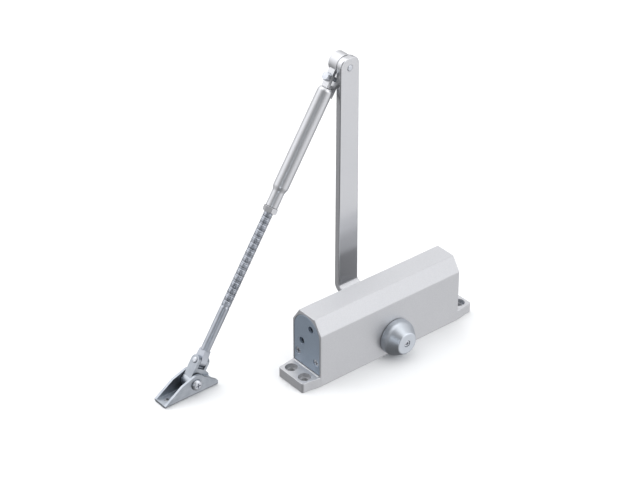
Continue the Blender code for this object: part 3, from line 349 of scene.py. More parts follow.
def settled(name, bm):
    """An object with bm as its mesh; the bmesh goes."""
    mesh = bpy.data.meshes.new(name)
    bm.to_mesh(mesh)
    bm.free()
    return new_object(name, mesh)


def solid(name, bm, place):
    """An object at the origin with bm moved to its place in its mesh."""
    bmesh.ops.transform(bm, matrix=place, verts=bm.verts)
    bmesh.ops.recalc_face_normals(bm, faces=bm.faces)
    return settled(name, bm)


def bake(obj):
    """Turns an object's modifiers into its mesh."""
    graph = bpy.context.evaluated_depsgraph_get()
    shown = obj.evaluated_get(graph)
    mesh = bpy.data.meshes.new_from_object(shown, preserve_all_data_layers=True, depsgraph=graph)
    obj.modifiers.clear()
    old, obj.data = obj.data, mesh
    bpy.data.meshes.remove(old)


def combine(obj, operation, *tools):
    """Cuts, joins or keeps what obj shares with each (bmesh, place)."""
    for bm, place in tools:
        other = solid("tool", bm, place)
        modifier = obj.modifiers.new("combine", "BOOLEAN")
        modifier.operation = operation
        modifier.object = other
        bake(obj)
        bpy.data.objects.remove(other, do_unlink=True)


def lifted(obj):
    """An object's mesh as a bmesh; the object goes."""
    bm = bmesh.new()
    bm.from_mesh(obj.data)
    bpy.data.objects.remove(obj, do_unlink=True)
    return bm


def merge_flat(obj):
    """Joins the coplanar faces that Booleans leave, so that a bevel has clean edges to run along."""
    bm = bmesh.new()
    bm.from_mesh(obj.data)
    bmesh.ops.remove_doubles(bm, verts=bm.verts, dist=0.002 * MM)
    bmesh.ops.dissolve_limit(bm, angle_limit=math.radians(0.3), verts=bm.verts, edges=bm.edges)
    bm.to_mesh(obj.data)
    bm.free()


def round_edges(obj, width, steps=3, sharper_than=38):
    """Rounds every edge that turns by more than an angle in degrees."""
    merge_flat(obj)
    bevel = obj.modifiers.new("round", "BEVEL")
    bevel.width = width
    bevel.segments = steps
    bevel.limit_method = "ANGLE"
    bevel.angle_limit = math.radians(sharper_than)
    bevel.miter_outer = "MITER_ARC"
    bake(obj)


def finish(obj, material, body, slot, *nodes, smooth_to=40):
    """Smooth shading, material and the frame calls that every new piece needs."""
    obj.data.materials.clear()
    obj.data.materials.append(material)
    obj.data.shade_smooth()
    obj.data.set_sharp_from_angle(angle=math.radians(smooth_to))
    weighted = obj.modifiers.new("weighted normals", "WEIGHTED_NORMAL")
    weighted.keep_sharp = True
    bake(obj)
    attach(obj, body)
    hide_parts(*nodes)
    print(f"{obj.name}: {len(obj.data.polygons)} faces for {', '.join(nodes)}")


# %% [markdown]
# ## The body
# The real body is die cast aluminium: a block with its upper long edges cut back, a low flange at each end
# with two counterbored holes, and one bore from end to end crossed by another for the spindle. The same cuts
# are made here in the order a machinist would make them, after the outer corners are rounded, so that the
# rims of the holes stay crisper than the cast corners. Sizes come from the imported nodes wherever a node
# shows them.

# %% Body sizes

CHAMFER_RUN = 9.6 * MM
CHAMFER_DROP = 14.6 * MM
FLANGE_THICKNESS = 10.6 * MM
FLANGE_END_WIDTH = 37 * MM
FLANGE_HOLE = 7 * MM
COUNTERBORE = 12.4 * MM
COUNTERBORE_DEPTH = 4 * MM
FLANGE_CORNER = 2.5 * MM
HOLE_SPACING = 20 * MM
ROOT_RUN = 1.6 * MM  # the small ramp where a body end meets its flange
ROOT_RISE = 1.4 * MM
HOLE_FROM_BODY = 10.8 * MM
SEAT_GAP = 0.3 * MM

housing_high = box("housing")[1]
cover_low, cover_high = box("end_cover_right")
plug_high = box("cylinder_plug_right")[1]
half_width = housing_high.y
half_length = cover_high.x
cover_face = cover_low.x - SEAT_GAP
bore_height = bore_at.z
bore_radius = box("plug_seal_right")[1].y + 0.05 * MM
plug_radius = plug_high.y
cross_radius = box("bearing_rear")[1].z - spindle_at.z + 0.1 * MM
along_x = aim((0, 0, 0), (1, 0, 0), (0, 0, 1))
print(f"body {2 * half_length / MM:.1f} x {2 * half_width / MM:.1f} x {housing_high.z / MM:.1f} mm")

# %% Body


def end_place(side):
    """At the middle of a body end, Z outward and X up."""
    return aim((side * half_length, 0, 0), (side, 0, 0), (0, 0, 1))


def arch(grow):
    """An end cover's outline in an end's place: a half round over straight sides."""
    radius = cover_high.y + grow
    foot = cover_low.z - grow
    centre = cover_high.z - cover_high.y
    return arc((centre, 0), radius, -90, 90, 48) + [(foot, radius), (foot, -radius)]


def flange_side():
    """Points along one side of a flange, which swings in from the body's side to the narrower tip."""
    start, tip = half_length - 1 * MM, housing_high.x
    wide, narrow = half_width - 0.2 * MM, FLANGE_END_WIDTH / 2
    corner = FLANGE_CORNER
    points = [(half_length - 8 * MM, -wide)]
    for i in range(11):
        t = i / 10
        points.append((start + (tip - corner - start) * t, -wide + (wide - narrow) * (3 * t * t - 2 * t**3)))
    return points + arc((tip - corner, -narrow + corner), corner, -80, 0, 8)


def flange_root():
    """The small ramp between a body's end and its flange, X along the body and Y up."""
    wall, top = half_length, FLANGE_THICKNESS
    root = [(wall - 1 * MM, top - 1 * MM), (wall + ROOT_RUN, top - 1 * MM)]
    root += [(wall + ROOT_RUN, top + 0.05 * MM), (wall + 0.45 * ROOT_RUN, top + 0.3 * ROOT_RISE)]
    root += [(wall + 0.02 * MM, top + ROOT_RISE)]
    return root + [(wall - 1 * MM, top + ROOT_RISE)]


def stepped_cutter(radius, wide, step, low, high):
    return spun([(0, low), (radius, low), (radius, step), (wide, step), (wide, high), (0, high)], 64)


def make_body():
    top = half_width - CHAMFER_RUN
    shoulder = housing_high.z - CHAMFER_DROP
    section = [(0, -half_width), (shoulder, -half_width), (housing_high.z, -top)]
    section += [(x, -y) for x, y in reversed(section)]
    body = solid("body_casting", pushed(section, -half_length, half_length), along_x)
    round_edges(body, 0.8 * MM, steps=4, sharper_than=25)
    outline = flange_side()
    outline += [(x, -y) for x, y in reversed(outline)]
    for turn in (0, math.pi):
        flange = solid("flange", pushed(outline, 0, FLANGE_THICKNESS), Matrix())
        round_edges(flange, 0.7 * MM, steps=3, sharper_than=60)
        combine(body, "UNION", (lifted(flange), Matrix.Rotation(turn, 4, "Z")))
        reach = half_width - 2.4 * MM
        facing = Matrix.Rotation(turn, 4, "Z") @ aim((0, 0, 0), (0, -1, 0), (1, 0, 0))
        combine(body, "UNION", (pushed(flange_root(), -reach, reach), facing))
    for side in (-1, 1):
        place = end_place(side)
        pocket = cover_face - half_length
        plug_seat = place @ Matrix.Translation((bore_height, 0, 0))
        combine(body, "DIFFERENCE", (pushed(arch(SEAT_GAP), pocket, 5 * MM), place))
        seat_end = plug_high.x - half_length - 5 * MM - SEAT_GAP
        wide = plug_radius + 0.2 * MM
        cutter = round_bar(wide, seat_end, pocket + 1 * MM)
        combine(body, "DIFFERENCE", (cutter, plug_seat))
        for y in (-HOLE_SPACING / 2, HOLE_SPACING / 2):
            at = Matrix.Translation((side * (half_length + HOLE_FROM_BODY), y, 0))
            seat = FLANGE_THICKNESS - COUNTERBORE_DEPTH
            above = FLANGE_THICKNESS + 1 * MM
            cutter = stepped_cutter(FLANGE_HOLE / 2, COUNTERBORE / 2, seat, -1 * MM, above)
            combine(body, "DIFFERENCE", (cutter, at))
        for screw in screw_places[side]:
            cutter = round_bar(1.6 * MM, -15 * MM, 0, 24)
            combine(body, "DIFFERENCE", (cutter, screw))
    reach = half_length - 5 * MM
    bore = round_bar(bore_radius, -reach, reach)
    combine(body, "DIFFERENCE", (bore, along_x @ Matrix.Translation((bore_height, 0, 0))))
    reach = half_width + 1 * MM
    cross = round_bar(cross_radius, -reach, reach)
    combine(body, "DIFFERENCE", (cross, aim(spindle_at, (0, 1, 0), (1, 0, 0))))
    round_edges(body, 0.2 * MM, steps=2)
    finish(body, body_enamel, "housing_body", "silver_paint", "housing", smooth_to=28)


screw_places = {-1: [], 1: []}
for name in ("cover_screw_left_1", "cover_screw_left_2", "cover_screw_right_1", "cover_screw_right_2"):
    low, high = box(name)
    side = -1 if high.x < 0 else 1
    middle = (low + high) / 2
    screw_places[side].append(aim((side * half_length, middle.y, middle.z), (side, 0, 0), (0, 0, 1)))
make_body()

# %% [markdown]
# ## End covers
# Each end of the body is closed by a stamped plate that sits flush in a shallow pocket, so only a fine joint
# line shows round it. Two countersunk screws hold it, and the plate at the valve end has two round windows
# that a screwdriver passes through to set the closing and latching speeds.

# %% End covers

SCREW_HEAD = 7.2 * MM
SCREW_SHANK = 3 * MM
SCREW_SINK = 0.6 * MM
VALVE_WINDOW = 7 * MM
valves = ("closing_valve_turn", "latching_valve_turn")


def make_cover(side, label):
    place = end_place(side)
    thickness = cover_high.x - cover_low.x
    cover = solid(f"end_plate_{label}", pushed(arch(0), -thickness, 0), place)
    round_edges(cover, 0.85 * MM, steps=4)
    head, shank = SCREW_HEAD / 2 + SEAT_GAP, SCREW_SHANK / 2 + SEAT_GAP
    cone_end = -SCREW_SINK - (SCREW_HEAD - SCREW_SHANK) / 2
    for screw in screw_places[side]:
        hole = [(0, 1 * MM), (head, 1 * MM), (head, -SCREW_SINK)]
        hole += [(shank, cone_end), (shank, -4 * MM), (0, -4 * MM)]
        combine(cover, "DIFFERENCE", (spun(hole, 48), screw))
    if side < 0:
        for valve in valves:
            x, y, z = joints[valve]["pos_m"]
            window = round_bar(VALVE_WINDOW / 2, -4 * MM, 1 * MM, 48)
            combine(cover, "DIFFERENCE", (window, aim((-half_length, y, z), (-1, 0, 0), (0, 0, 1))))
    round_edges(cover, 0.2 * MM, steps=2)
    finish(cover, shaded_cover_enamel, "housing_body", "cover_paint", f"end_cover_{label}")


make_cover(-1, "left")
make_cover(1, "right")

# %% [markdown]
# ## Screws, by Geometry Nodes
# The four cover screws are the same screw four times. One screw is modelled, and a small tree puts a copy of
# it on each of four points, turned to each point's own direction, which the points carry as an attribute.
# The tree ends in Realize Instances and Set Material, so its result can be kept as a plain mesh.

# %% One countersunk screw


def cross_slot(half_length, width, top, depth):
    """A cutter for a crossed driver slot in a head whose face is at z = top."""
    corners = [(half_length, -width), (half_length, width), (width, width)]
    outline = []
    for quarter in range(4):
        turn = Matrix.Rotation(quarter * math.pi / 2, 2)
        outline += [tuple(turn @ Vector(corner)) for corner in corners]
    return pushed(outline, top - depth, top + 1 * MM)


def countersunk_screw(name, head, shank, length, top):
    profile = [(0, top), (head - 0.25 * MM, top), (head, top - 0.2 * MM)]
    profile.append((shank, top - 0.2 * MM - (head - shank)))
    profile += [(shank, top - length), (shank * 0.5, top - length - 0.7 * MM), (0, top - length - 0.8 * MM)]
    screw = solid(name, spun(profile, 48), Matrix())
    combine(screw, "DIFFERENCE", (cross_slot(head * 0.62, head * 0.13, top, 1.3 * MM), Matrix()))
    round_edges(screw, 0.08 * MM, steps=2)
    return screw


one_screw = countersunk_screw("one screw", SCREW_HEAD / 2, SCREW_SHANK / 2, 10 * MM, -0.7 * MM)
print("one screw has", len(one_screw.data.polygons), "faces")

# %% The tree that places them


def place_copies_tree():
    """Copies an object onto points, each turned so that Z follows the point's direction."""
    tree = bpy.data.node_groups.new("Place copies", "GeometryNodeTree")
    tree.interface.new_socket("Geometry", in_out="INPUT", socket_type="NodeSocketGeometry")
    tree.interface.new_socket("Copied", in_out="INPUT", socket_type="NodeSocketObject")
    tree.interface.new_socket("Finish", in_out="INPUT", socket_type="NodeSocketMaterial")
    tree.interface.new_socket("Geometry", in_out="OUTPUT", socket_type="NodeSocketGeometry")
    given = add(tree, "NodeGroupInput")
    info = add(tree, "GeometryNodeObjectInfo", inputs={"Object": given.outputs["Copied"]})
    direction = add(tree, "GeometryNodeInputNamedAttribute", {"data_type": "FLOAT_VECTOR"},
                    {"Name": "direction"}).outputs["Attribute"]
    turned = add(tree, "FunctionNodeAlignRotationToVector", {"axis": "Z"}, {"Vector": direction})
    copies = add(tree, "GeometryNodeInstanceOnPoints", inputs={
        "Points": given.outputs["Geometry"],
        "Instance": info.outputs["Geometry"],
        "Rotation": turned.outputs[0],
    })
    real = add(tree, "GeometryNodeRealizeInstances", inputs={0: copies.outputs[0]})
    dressed = add(tree, "GeometryNodeSetMaterial", inputs={
        0: real.outputs[0], "Material": given.outputs["Finish"]})
    add(tree, "NodeGroupOutput", inputs={0: dressed.outputs[0]})
    return tree


def run_tree(obj, tree, **values):
    """Adds a tree to obj, sets its inputs by their sockets' identifiers, and bakes the result."""
    modifier = obj.modifiers.new(tree.name, "NODES")
    modifier.node_group = tree
    for item in tree.interface.items_tree:
        if item.item_type == "SOCKET" and item.in_out == "INPUT" and item.name.replace(" ", "_") in values:
            modifier[item.identifier] = values[item.name.replace(" ", "_")]
    bake(obj)


def points_object(name, places):
    """A mesh of loose points, each with its direction."""
    mesh = bpy.data.meshes.new(name)
    mesh.from_pydata([tuple(place.translation) for place in places], [], [])
    direction = mesh.attributes.new("direction", "FLOAT_VECTOR", "POINT")
    for point, place in zip(direction.data, places):
        point.vector = place.to_3x3() @ Vector((0, 0, 1))
    return new_object(name, mesh)


place_copies = place_copies_tree()
cover_screws = points_object("cover_screw_set", screw_places[-1] + screw_places[1])
run_tree(cover_screws, place_copies, Copied=one_screw, Finish=screw_zinc)
finish(cover_screws, screw_zinc, "housing_body", "bright_zinc", "cover_screw_left_1", "cover_screw_left_2",
       "cover_screw_right_1", "cover_screw_right_2")
bpy.data.objects.remove(one_screw, do_unlink=True)

# %% [markdown]
# ## Regulating screws
# Two small slotted needles sit behind the windows of the left cover. A shallow groove near the tip of each
# holds the rubber ring that keeps the oil in.

# %% Regulating screws


def make_valve(label):
    low, high = box(f"{label}_valve_screw")
    x, y, z = joints[f"{label}_valve_turn"]["pos_m"]
    radius = (high.z - low.z) / 2
    place = aim((low.x, y, z), (-1, 0, 0), (0, 0, 1))
    groove = radius - 0.7 * MM
    profile = [
        (0, 0), (radius - 0.3 * MM, 0), (radius, -0.3 * MM), (radius, -3.2 * MM), (groove, -3.2 * MM),
        (groove, -4.8 * MM), (radius, -4.8 * MM), (radius, -5.8 * MM), (0.3 * MM, -7 * MM), (0, -7 * MM),
    ]
    screw = solid(f"{label}_needle", spun(profile, 48), place)
    slot = block((-4 * MM, -0.45 * MM, -1.5 * MM), (4 * MM, 0.45 * MM, 1 * MM))
    combine(screw, "DIFFERENCE", (slot, place))
    round_edges(screw, 0.07 * MM, steps=2)
    finish(screw, screw_zinc, f"{label}_valve", "bright_zinc", f"{label}_valve_screw")


make_valve("closing")
make_valve("latching")

# %% [markdown]
# ## Spindle cap
# The spindle's front end is hidden by a turned cap: a short straight rim, a long taper and a flat face
# with a small screw in its middle. It catches more light than any other piece, so its profile gets a small
# round wherever the real tool would leave one.

# %% Spindle cap

CAP_RIM = 7.4 * MM
CAP_FACE_RADIUS = 11.2 * MM
CAP_SCREW_HEAD = 6.6 * MM
CAP_SCREW_SHANK = 4.6 * MM
CAP_ROUNDS = (0.9 * MM, 3.2 * MM, 1.2 * MM)  # at the rim's two corners and at the face
CAP_SQUARE = 9.3 * MM


def rounded_profile(corners, radii, steps=5):
    """A profile whose inner corners are rounded, by one radius or one each, as far as their sides allow."""
    if not isinstance(radii, (tuple, list)):
        radii = [radii] * (len(corners) - 2)
    points = [tuple(corners[0])]
    for before, corner, after, radius in zip(corners, corners[1:], corners[2:], radii):
        corner = Vector(corner)
        back, forth = Vector(before) - corner, Vector(after) - corner
        reach = min(radius, back.length * 0.45, forth.length * 0.45)
        start, end = corner + back.normalized() * reach, corner + forth.normalized() * reach
        for i in range(steps + 1):
            t = i / steps
            points.append(tuple(start.lerp(corner, t).lerp(corner.lerp(end, t), t)))
    return points + [tuple(corners[-1])]


def make_cap():
    low, high = box("spindle_cap")
    place = aim(spindle_at, (0, -1, 0), (1, 0, 0))
    radius = (high.z - low.z) / 2
    start, face = -high.y, -low.y
    rim = start + CAP_RIM
    corners = [(0, start), (radius, start), (radius, rim), (CAP_FACE_RADIUS, face), (0, face)]
    profile = rounded_profile(corners, CAP_ROUNDS, 10)
    cap = solid("turned_cap", spun(profile, 128), place)
    shaft_end = -box("pinion_shaft")[0].y
    socket_end = shaft_end + SEAT_GAP
    clear = round_bar(8 * MM, start - 1 * MM, start + 1.2 * MM)
    half = CAP_SQUARE / 2
    socket = block((-half, -half, start - 1 * MM), (half, half, socket_end))
    head, shank = CAP_SCREW_HEAD / 2 + 0.25 * MM, CAP_SCREW_SHANK / 2 + 0.2 * MM
    seat = face - 2.4 * MM
    hole = [(0, socket_end - 1 * MM), (shank, socket_end - 1 * MM), (shank, seat), (head, seat)]
    hole += [(head, face + 1 * MM), (0, face + 1 * MM)]
    combine(cap, "DIFFERENCE", (clear, place), (socket, place), (spun(hole), place))
    round_edges(cap, 0.15 * MM, steps=2)
    finish(cap, cap_steel, "spindle", "satin_cap", "spindle_cap")
    head, shank = CAP_SCREW_HEAD / 2, CAP_SCREW_SHANK / 2
    top = face - 0.4 * MM
    corners = [(0, top), (head, top), (head, seat + 0.2 * MM), (shank, seat + 0.2 * MM)]
    corners += [(shank, seat - 11 * MM), (0, seat - 12 * MM)]
    screw = solid("cap_fixing_screw", spun(rounded_profile(corners, 0.6 * MM), 64), place)
    combine(screw, "DIFFERENCE", (cross_slot(2.1 * MM, 0.5 * MM, top, 1.6 * MM), place))
    round_edges(screw, 0.08 * MM, steps=2)
    finish(screw, screw_zinc, "spindle", "bright_zinc", "cap_screw")


make_cap()

# %% [markdown]
# ## Main arm
# The main arm is one length of flat bar. Its foot lies close to the body and fits over a square on the
# spindle, then the bar steps out and runs straight to the elbow, getting a little narrower on the way. A
# side view of the bent bar is pushed across and cut to the face view, then the long edges are rounded as a
# rolling mill leaves them.

# %% Main arm

ARM_BEND_HEIGHT = 42 * MM
ARM_FOOT_HEIGHT = 31.5 * MM
ARM_BEND_RADIUS = 6 * MM
ARM_THICKNESS = 6.7 * MM
ARM_TIP_WIDTH = 22.2 * MM
ARM_TIP_CORNER = 8.8 * MM
REAR_SQUARE = 10 * MM
RIVET_DIAMETER = 6.2 * MM
ARM_BOLT_HEAD = 5.2 * MM
elbow_at = Vector(joints["elbow_turn"]["pos_m"])
on_spindle = aim(spindle_at, (0, 1, 0), (1, 0, 0))
on_elbow = aim((elbow_at.x, 0, elbow_at.z), (0, 1, 0), (1, 0, 0))


def bent_bar(corners, radius, thickness, steps=10):
    """The side outline of a bar that is bent round each inner corner."""
    path = [Vector(corners[0])]
    for before, corner, after in zip(corners, corners[1:], corners[2:]):
        back = (Vector(before) - Vector(corner)).normalized()
        forth = (Vector(after) - Vector(corner)).normalized()
        half = back.angle(forth) / 2
        centre = Vector(corner) + (back + forth).normalized() * (radius / math.sin(half))
        first = Vector(corner) + back * (radius / math.tan(half)) - centre
        last = Vector(corner) + forth * (radius / math.tan(half)) - centre
        path += [centre + first.lerp(last, i / steps).normalized() * radius for i in range(steps + 1)]
    path.append(Vector(corners[-1]))
    sides = ([], [])
    for i, point in enumerate(path):
        along = (path[min(i + 1, len(path) - 1)] - path[max(i - 1, 0)]).normalized()
        across = Vector((-along.y, along.x)) * (thickness / 2)
        sides[0].append(tuple(point + across))
        sides[1].append(tuple(point - across))
    return sides[0] + sides[1][::-1]


def make_main_arm():
    low, high = box("main_arm")
    foot_y, long_y = low.y + ARM_THICKNESS / 2, high.y - ARM_THICKNESS / 2
    corners = [(foot_y, 0), (foot_y, ARM_FOOT_HEIGHT), (long_y, ARM_BEND_HEIGHT), (long_y, high.z + 2 * MM)]
    profile = bent_bar(corners, ARM_BEND_RADIUS, ARM_THICKNESS)
    foot_radius = (high.x - low.x) / 2
    reach = foot_radius + 2 * MM
    side_on = aim((spindle_at.x, 0, 0), (1, 0, 0), (0, 1, 0))
    arm = solid("bent_flat_bar", pushed(profile, -reach, reach), side_on)
    tip = ARM_TIP_WIDTH / 2
    outline = arc((0, spindle_at.z), foot_radius, 180, 360, 40)
    outline += arc((tip - ARM_TIP_CORNER, high.z - ARM_TIP_CORNER), ARM_TIP_CORNER, 0, 90, 14)
    outline += arc((-tip + ARM_TIP_CORNER, high.z - ARM_TIP_CORNER), ARM_TIP_CORNER, 90, 180, 14)
    facing = aim((spindle_at.x, 0, 0), (0, -1, 0), (1, 0, 0))
    combine(arm, "INTERSECT", (pushed(outline, -high.y - 5 * MM, -half_width), facing))
    round_edges(arm, 1.1 * MM, steps=4)
    half = REAR_SQUARE / 2 + 0.15 * MM
    square = block((-half, -half, half_width), (half, half, long_y - ARM_THICKNESS / 2))
    rivet = RIVET_DIAMETER / 2 + 0.1 * MM
    hole = round_bar(rivet, long_y - 5 * MM, long_y + 5 * MM, 64)
    combine(arm, "DIFFERENCE", (square, on_spindle))
    combine(arm, "DIFFERENCE", (hole, on_elbow))
    round_edges(arm, 0.12 * MM, steps=2)
    finish(arm, arm_enamel, "spindle", "silver_paint", "main_arm")


make_main_arm()

# %% [markdown]
# ## Arm fasteners
# A hexagon bolt with a washer clamps the arm to the spindle. At the elbow, one rivet passes through the arm,
# a thin washer and the knuckle. A forged hexagon head has its corners cut back by a shallow cone, which is
# made by keeping only what the hexagon shares with a turned blank.

# %% Arm fasteners


def hexagon(across_flats):
    return arc((0, 0), across_flats / math.sqrt(3), 0, 300, 5)


def hex_head(name, across_flats, low, high, place, both_ends=False):
    """A hexagon between two heights with its corners coned at the top, or at both ends."""
    foot = low - 1 * MM if both_ends else low
    head = solid(name, pushed(hexagon(across_flats), foot, high + 1 * MM), place)
    flat, corner = across_flats / 2 * 0.97, across_flats / math.sqrt(3) + 0.05 * MM
    drop = (corner - flat) * 0.5
    bottom = [(0, low - 1 * MM), (corner, low - 1 * MM)]
    if both_ends:
        bottom = [(0, low), (flat, low), (corner, low + drop)]
    blank = spun(bottom + [(corner, high - drop), (flat, high), (0, high)], 96)
    combine(head, "INTERSECT", (blank, place))
    return head


def make_arm_fasteners():
    low, high = box("arm_washer")
    wide, inner = (high.z - low.z) / 2, 3.1 * MM
    edge = 0.3 * MM
    ring = [(inner, low.y), (wide - edge, low.y), (wide, low.y + edge)]
    ring += [(wide, high.y - edge), (wide - edge, high.y), (inner, high.y)]
    washer = solid("arm_clamp_washer", spun(ring), on_spindle)
    finish(washer, screw_zinc, "spindle", "bright_zinc", "arm_washer")
    low, high = box("arm_bolt")
    head_low = high.y - ARM_BOLT_HEAD
    bolt = hex_head("arm_clamp_bolt", high.z - low.z, head_low, high.y, on_spindle)
    inside_head = head_low + 2 * MM
    shank = [(0, low.y), (2.4 * MM, low.y), (2.9 * MM, low.y + 0.8 * MM)]
    shank += [(2.9 * MM, inside_head), (0, inside_head)]
    combine(bolt, "UNION", (spun(shank, 64), on_spindle))
    round_edges(bolt, 0.15 * MM, steps=2, sharper_than=28)
    finish(bolt, screw_zinc, "spindle", "bright_zinc", "arm_bolt")
    low, high = box("elbow_rivet")
    radius, head = RIVET_DIAMETER / 2, (high.x - low.x) / 2
    foot = box("elbow_knuckle")[1].y + 0.3 * MM
    corners = [(0, low.y), (radius - 0.5 * MM, low.y + 0.05 * MM), (radius, low.y + 0.5 * MM)]
    corners += [(radius, foot), (head, foot)]
    corners += [(head * 0.8, foot + 1.3 * MM), (0, high.y)]
    rivet = solid("elbow_pin", spun(rounded_profile(corners, 0.5 * MM), 64), on_elbow)
    finish(rivet, screw_zinc, "spindle", "bright_zinc", "elbow_rivet")


make_arm_fasteners()

# %% [markdown]
# ## Elbow knuckle
# The knuckle is a small forging: a drum that turns on the elbow rivet, with a lug that enters the tube of the
# forearm. A bolt through the lug clamps the tube's strap to it. Everything on the forearm is placed from one
# matrix that runs down its axis.

# %% The forearm's own axes

eye_at = Vector(joints["link_swing"]["pos_m"])
outward = Vector(joints["link_swing"]["axis"])
shoe_pivot = Vector(joints["shoe_tilt"]["pos_m"])
forearm_start = elbow_at + outward * (3 * MM)
to_eye = (eye_at - forearm_start).dot(forearm_down)


def forearm(at=0.0):
    """Z down the forearm and X outward, at a distance from its start."""
    return aim(forearm_start + forearm_down * at, forearm_down, outward)


rod_eye = aim(forearm_start + forearm_down * to_eye, outward, forearm_down)
print(f"the rod's eye is {to_eye / MM:.1f} mm down the forearm")

# %% Elbow knuckle

TUBE_START = 25 * MM
BOLT_AT = 16.4 * MM
BOLT_FLATS = 7.45 * MM
BOLT_HEAD = 4.4 * MM


def make_knuckle():
    low, high = box("elbow_knuckle")
    half = (high.y - low.y) / 2
    radius = high.z - elbow_at.z
    drum = aim(elbow_at, (0, 1, 0), (1, 0, 0))
    corners = [(0, -half), (radius, -half), (radius, half), (0, half)]
    knuckle = solid("forged_knuckle", spun(rounded_profile(corners, (0.4 * MM, 1 * MM)), 96), drum)
    lug = block((0.4 * MM, -4 * MM, 2 * MM), (4 * MM, 4 * MM, TUBE_START + 1 * MM))
    tenon = block((-3.2 * MM, -3.2 * MM, TUBE_START - 2 * MM), (3.2 * MM, 3.2 * MM, TUBE_START + 7 * MM))
    combine(knuckle, "UNION", (lug, forearm()), (tenon, forearm()))
    round_edges(knuckle, 0.9 * MM, steps=3)
    pin = RIVET_DIAMETER / 2 + 0.15 * MM
    hole = round_bar(pin, -half - 1 * MM, half + 1 * MM, 64)
    combine(knuckle, "DIFFERENCE", (hole, drum))
    across = forearm(BOLT_AT) @ Matrix.Rotation(math.pi / 2, 4, "Y")
    bolt_hole = round_bar(2.3 * MM, -8 * MM, 8 * MM, 48)
    combine(knuckle, "DIFFERENCE", (bolt_hole, across))
    finish(knuckle, tube_enamel, "forearm", "silver_paint", "elbow_knuckle")
    head_low = 4.3 * MM
    bolt = hex_head("knuckle_clamp_bolt", BOLT_FLATS, head_low, head_low + BOLT_HEAD, across)
    shank = round_bar(2.1 * MM, -8.4 * MM, head_low + 1 * MM, 48)
    combine(bolt, "UNION", (shank, across))
    round_edges(bolt, 0.2 * MM, steps=2, sharper_than=28)
    finish(bolt, screw_zinc, "forearm", "bright_zinc", "knuckle_bolt")


make_knuckle()

# %% [markdown]
# ## Forearm tube
# The upper forearm is a drawn steel tube. One end is swaged down to a neck for the rod, and the other is
# pressed over the knuckle's lug, with a strap left on its inner side for the bolt.

# %% Forearm tube

TUBE_STEP = 128 * MM
TUBE_END = 148 * MM
TUBE_RADIUS = 7.4 * MM
NECK_RADIUS = 5.95 * MM
TUBE_BORE = 5.1 * MM


def make_tube():
    corners = [
        (TUBE_BORE, TUBE_START + 1.6 * MM), (TUBE_RADIUS - 1.4 * MM, TUBE_START + 1.6 * MM),
        (TUBE_RADIUS - 0.1 * MM, TUBE_START + 4 * MM), (TUBE_RADIUS, TUBE_START + 9 * MM),
        (TUBE_RADIUS, TUBE_STEP),
        (NECK_RADIUS, TUBE_STEP + 4 * MM), (NECK_RADIUS, TUBE_END), (TUBE_BORE, TUBE_END),
    ]
    profile = rounded_profile(corners, 1.2 * MM, 6)
    tube = solid("swaged_tube", spun(profile, 96), forearm())
    inner = -TUBE_BORE - 0.15 * MM
    strap = block((inner - 2.2 * MM, -5 * MM, BOLT_AT - 5.6 * MM), (inner, 5 * MM, TUBE_START + 9 * MM))
    combine(tube, "UNION", (strap, forearm()))
    across = forearm(BOLT_AT) @ Matrix.Rotation(math.pi / 2, 4, "Y")
    hole = round_bar(2.3 * MM, -12 * MM, -3 * MM, 48)
    combine(tube, "DIFFERENCE", (hole, across))
    round_edges(tube, 0.35 * MM, steps=3, sharper_than=42)
    finish(tube, tube_enamel, "forearm", "silver_paint", "forearm_tube")


make_tube()

# %% [markdown]
# ## Threads, by Geometry Nodes
# A screw thread is a ridge that climbs round a bar, so it follows a rule and suits Geometry Nodes: a spiral
# curve gives the path, a small triangle swept along it gives the ridge, and the bar inside is joined to it.
# The pitch is a true 1.5 mm.

# %% The thread tree

THREAD_PITCH = 1.5 * MM


def thread_tree():
    """A V thread round a core, along Z from zero."""
    tree = bpy.data.node_groups.new("Screw thread", "GeometryNodeTree")
    tree.interface.new_socket("Geometry", in_out="INPUT", socket_type="NodeSocketGeometry")
    for name in ("Radius", "Pitch", "Length", "Depth"):
        tree.interface.new_socket(name, in_out="INPUT", socket_type="NodeSocketFloat")
    tree.interface.new_socket("Finish", in_out="INPUT", socket_type="NodeSocketMaterial")
    tree.interface.new_socket("Geometry", in_out="OUTPUT", socket_type="NodeSocketGeometry")
    given = add(tree, "NodeGroupInput").outputs
    turns = add(tree, "ShaderNodeMath", {"operation": "DIVIDE"}, {0: given["Length"], 1: given["Pitch"]})
    middle = add(tree, "ShaderNodeMath", {"operation": "SUBTRACT"}, {0: given["Radius"], 1: given["Depth"]})
    path = add(tree, "GeometryNodeCurveSpiral", inputs={
        "Resolution": 28, "Rotations": turns.outputs[0], "Start Radius": middle.outputs[0],
        "End Radius": middle.outputs[0], "Height": given["Length"]})
    ridge = add(tree, "GeometryNodeCurvePrimitiveCircle", {"mode": "RADIUS"},
                {"Resolution": 4, "Radius": given["Depth"]})
    swept = add(tree, "GeometryNodeCurveToMesh", inputs={
        "Curve": path.outputs[0], "Profile Curve": ridge.outputs[0], "Fill Caps": True})
    joined = add(tree, "GeometryNodeJoinGeometry", inputs={0: swept.outputs[0]})
    tree.links.new(given["Geometry"], joined.inputs[0])
    real = add(tree, "GeometryNodeRealizeInstances", inputs={0: joined.outputs[0]})
    dressed = add(tree, "GeometryNodeSetMaterial", inputs={0: real.outputs[0], "Material": given["Finish"]})
    add(tree, "NodeGroupOutput", inputs={0: dressed.outputs[0]})
    return tree


screw_thread = thread_tree()
print("the thread takes", [item.name for item in screw_thread.interface.items_tree if item.in_out == "INPUT"])

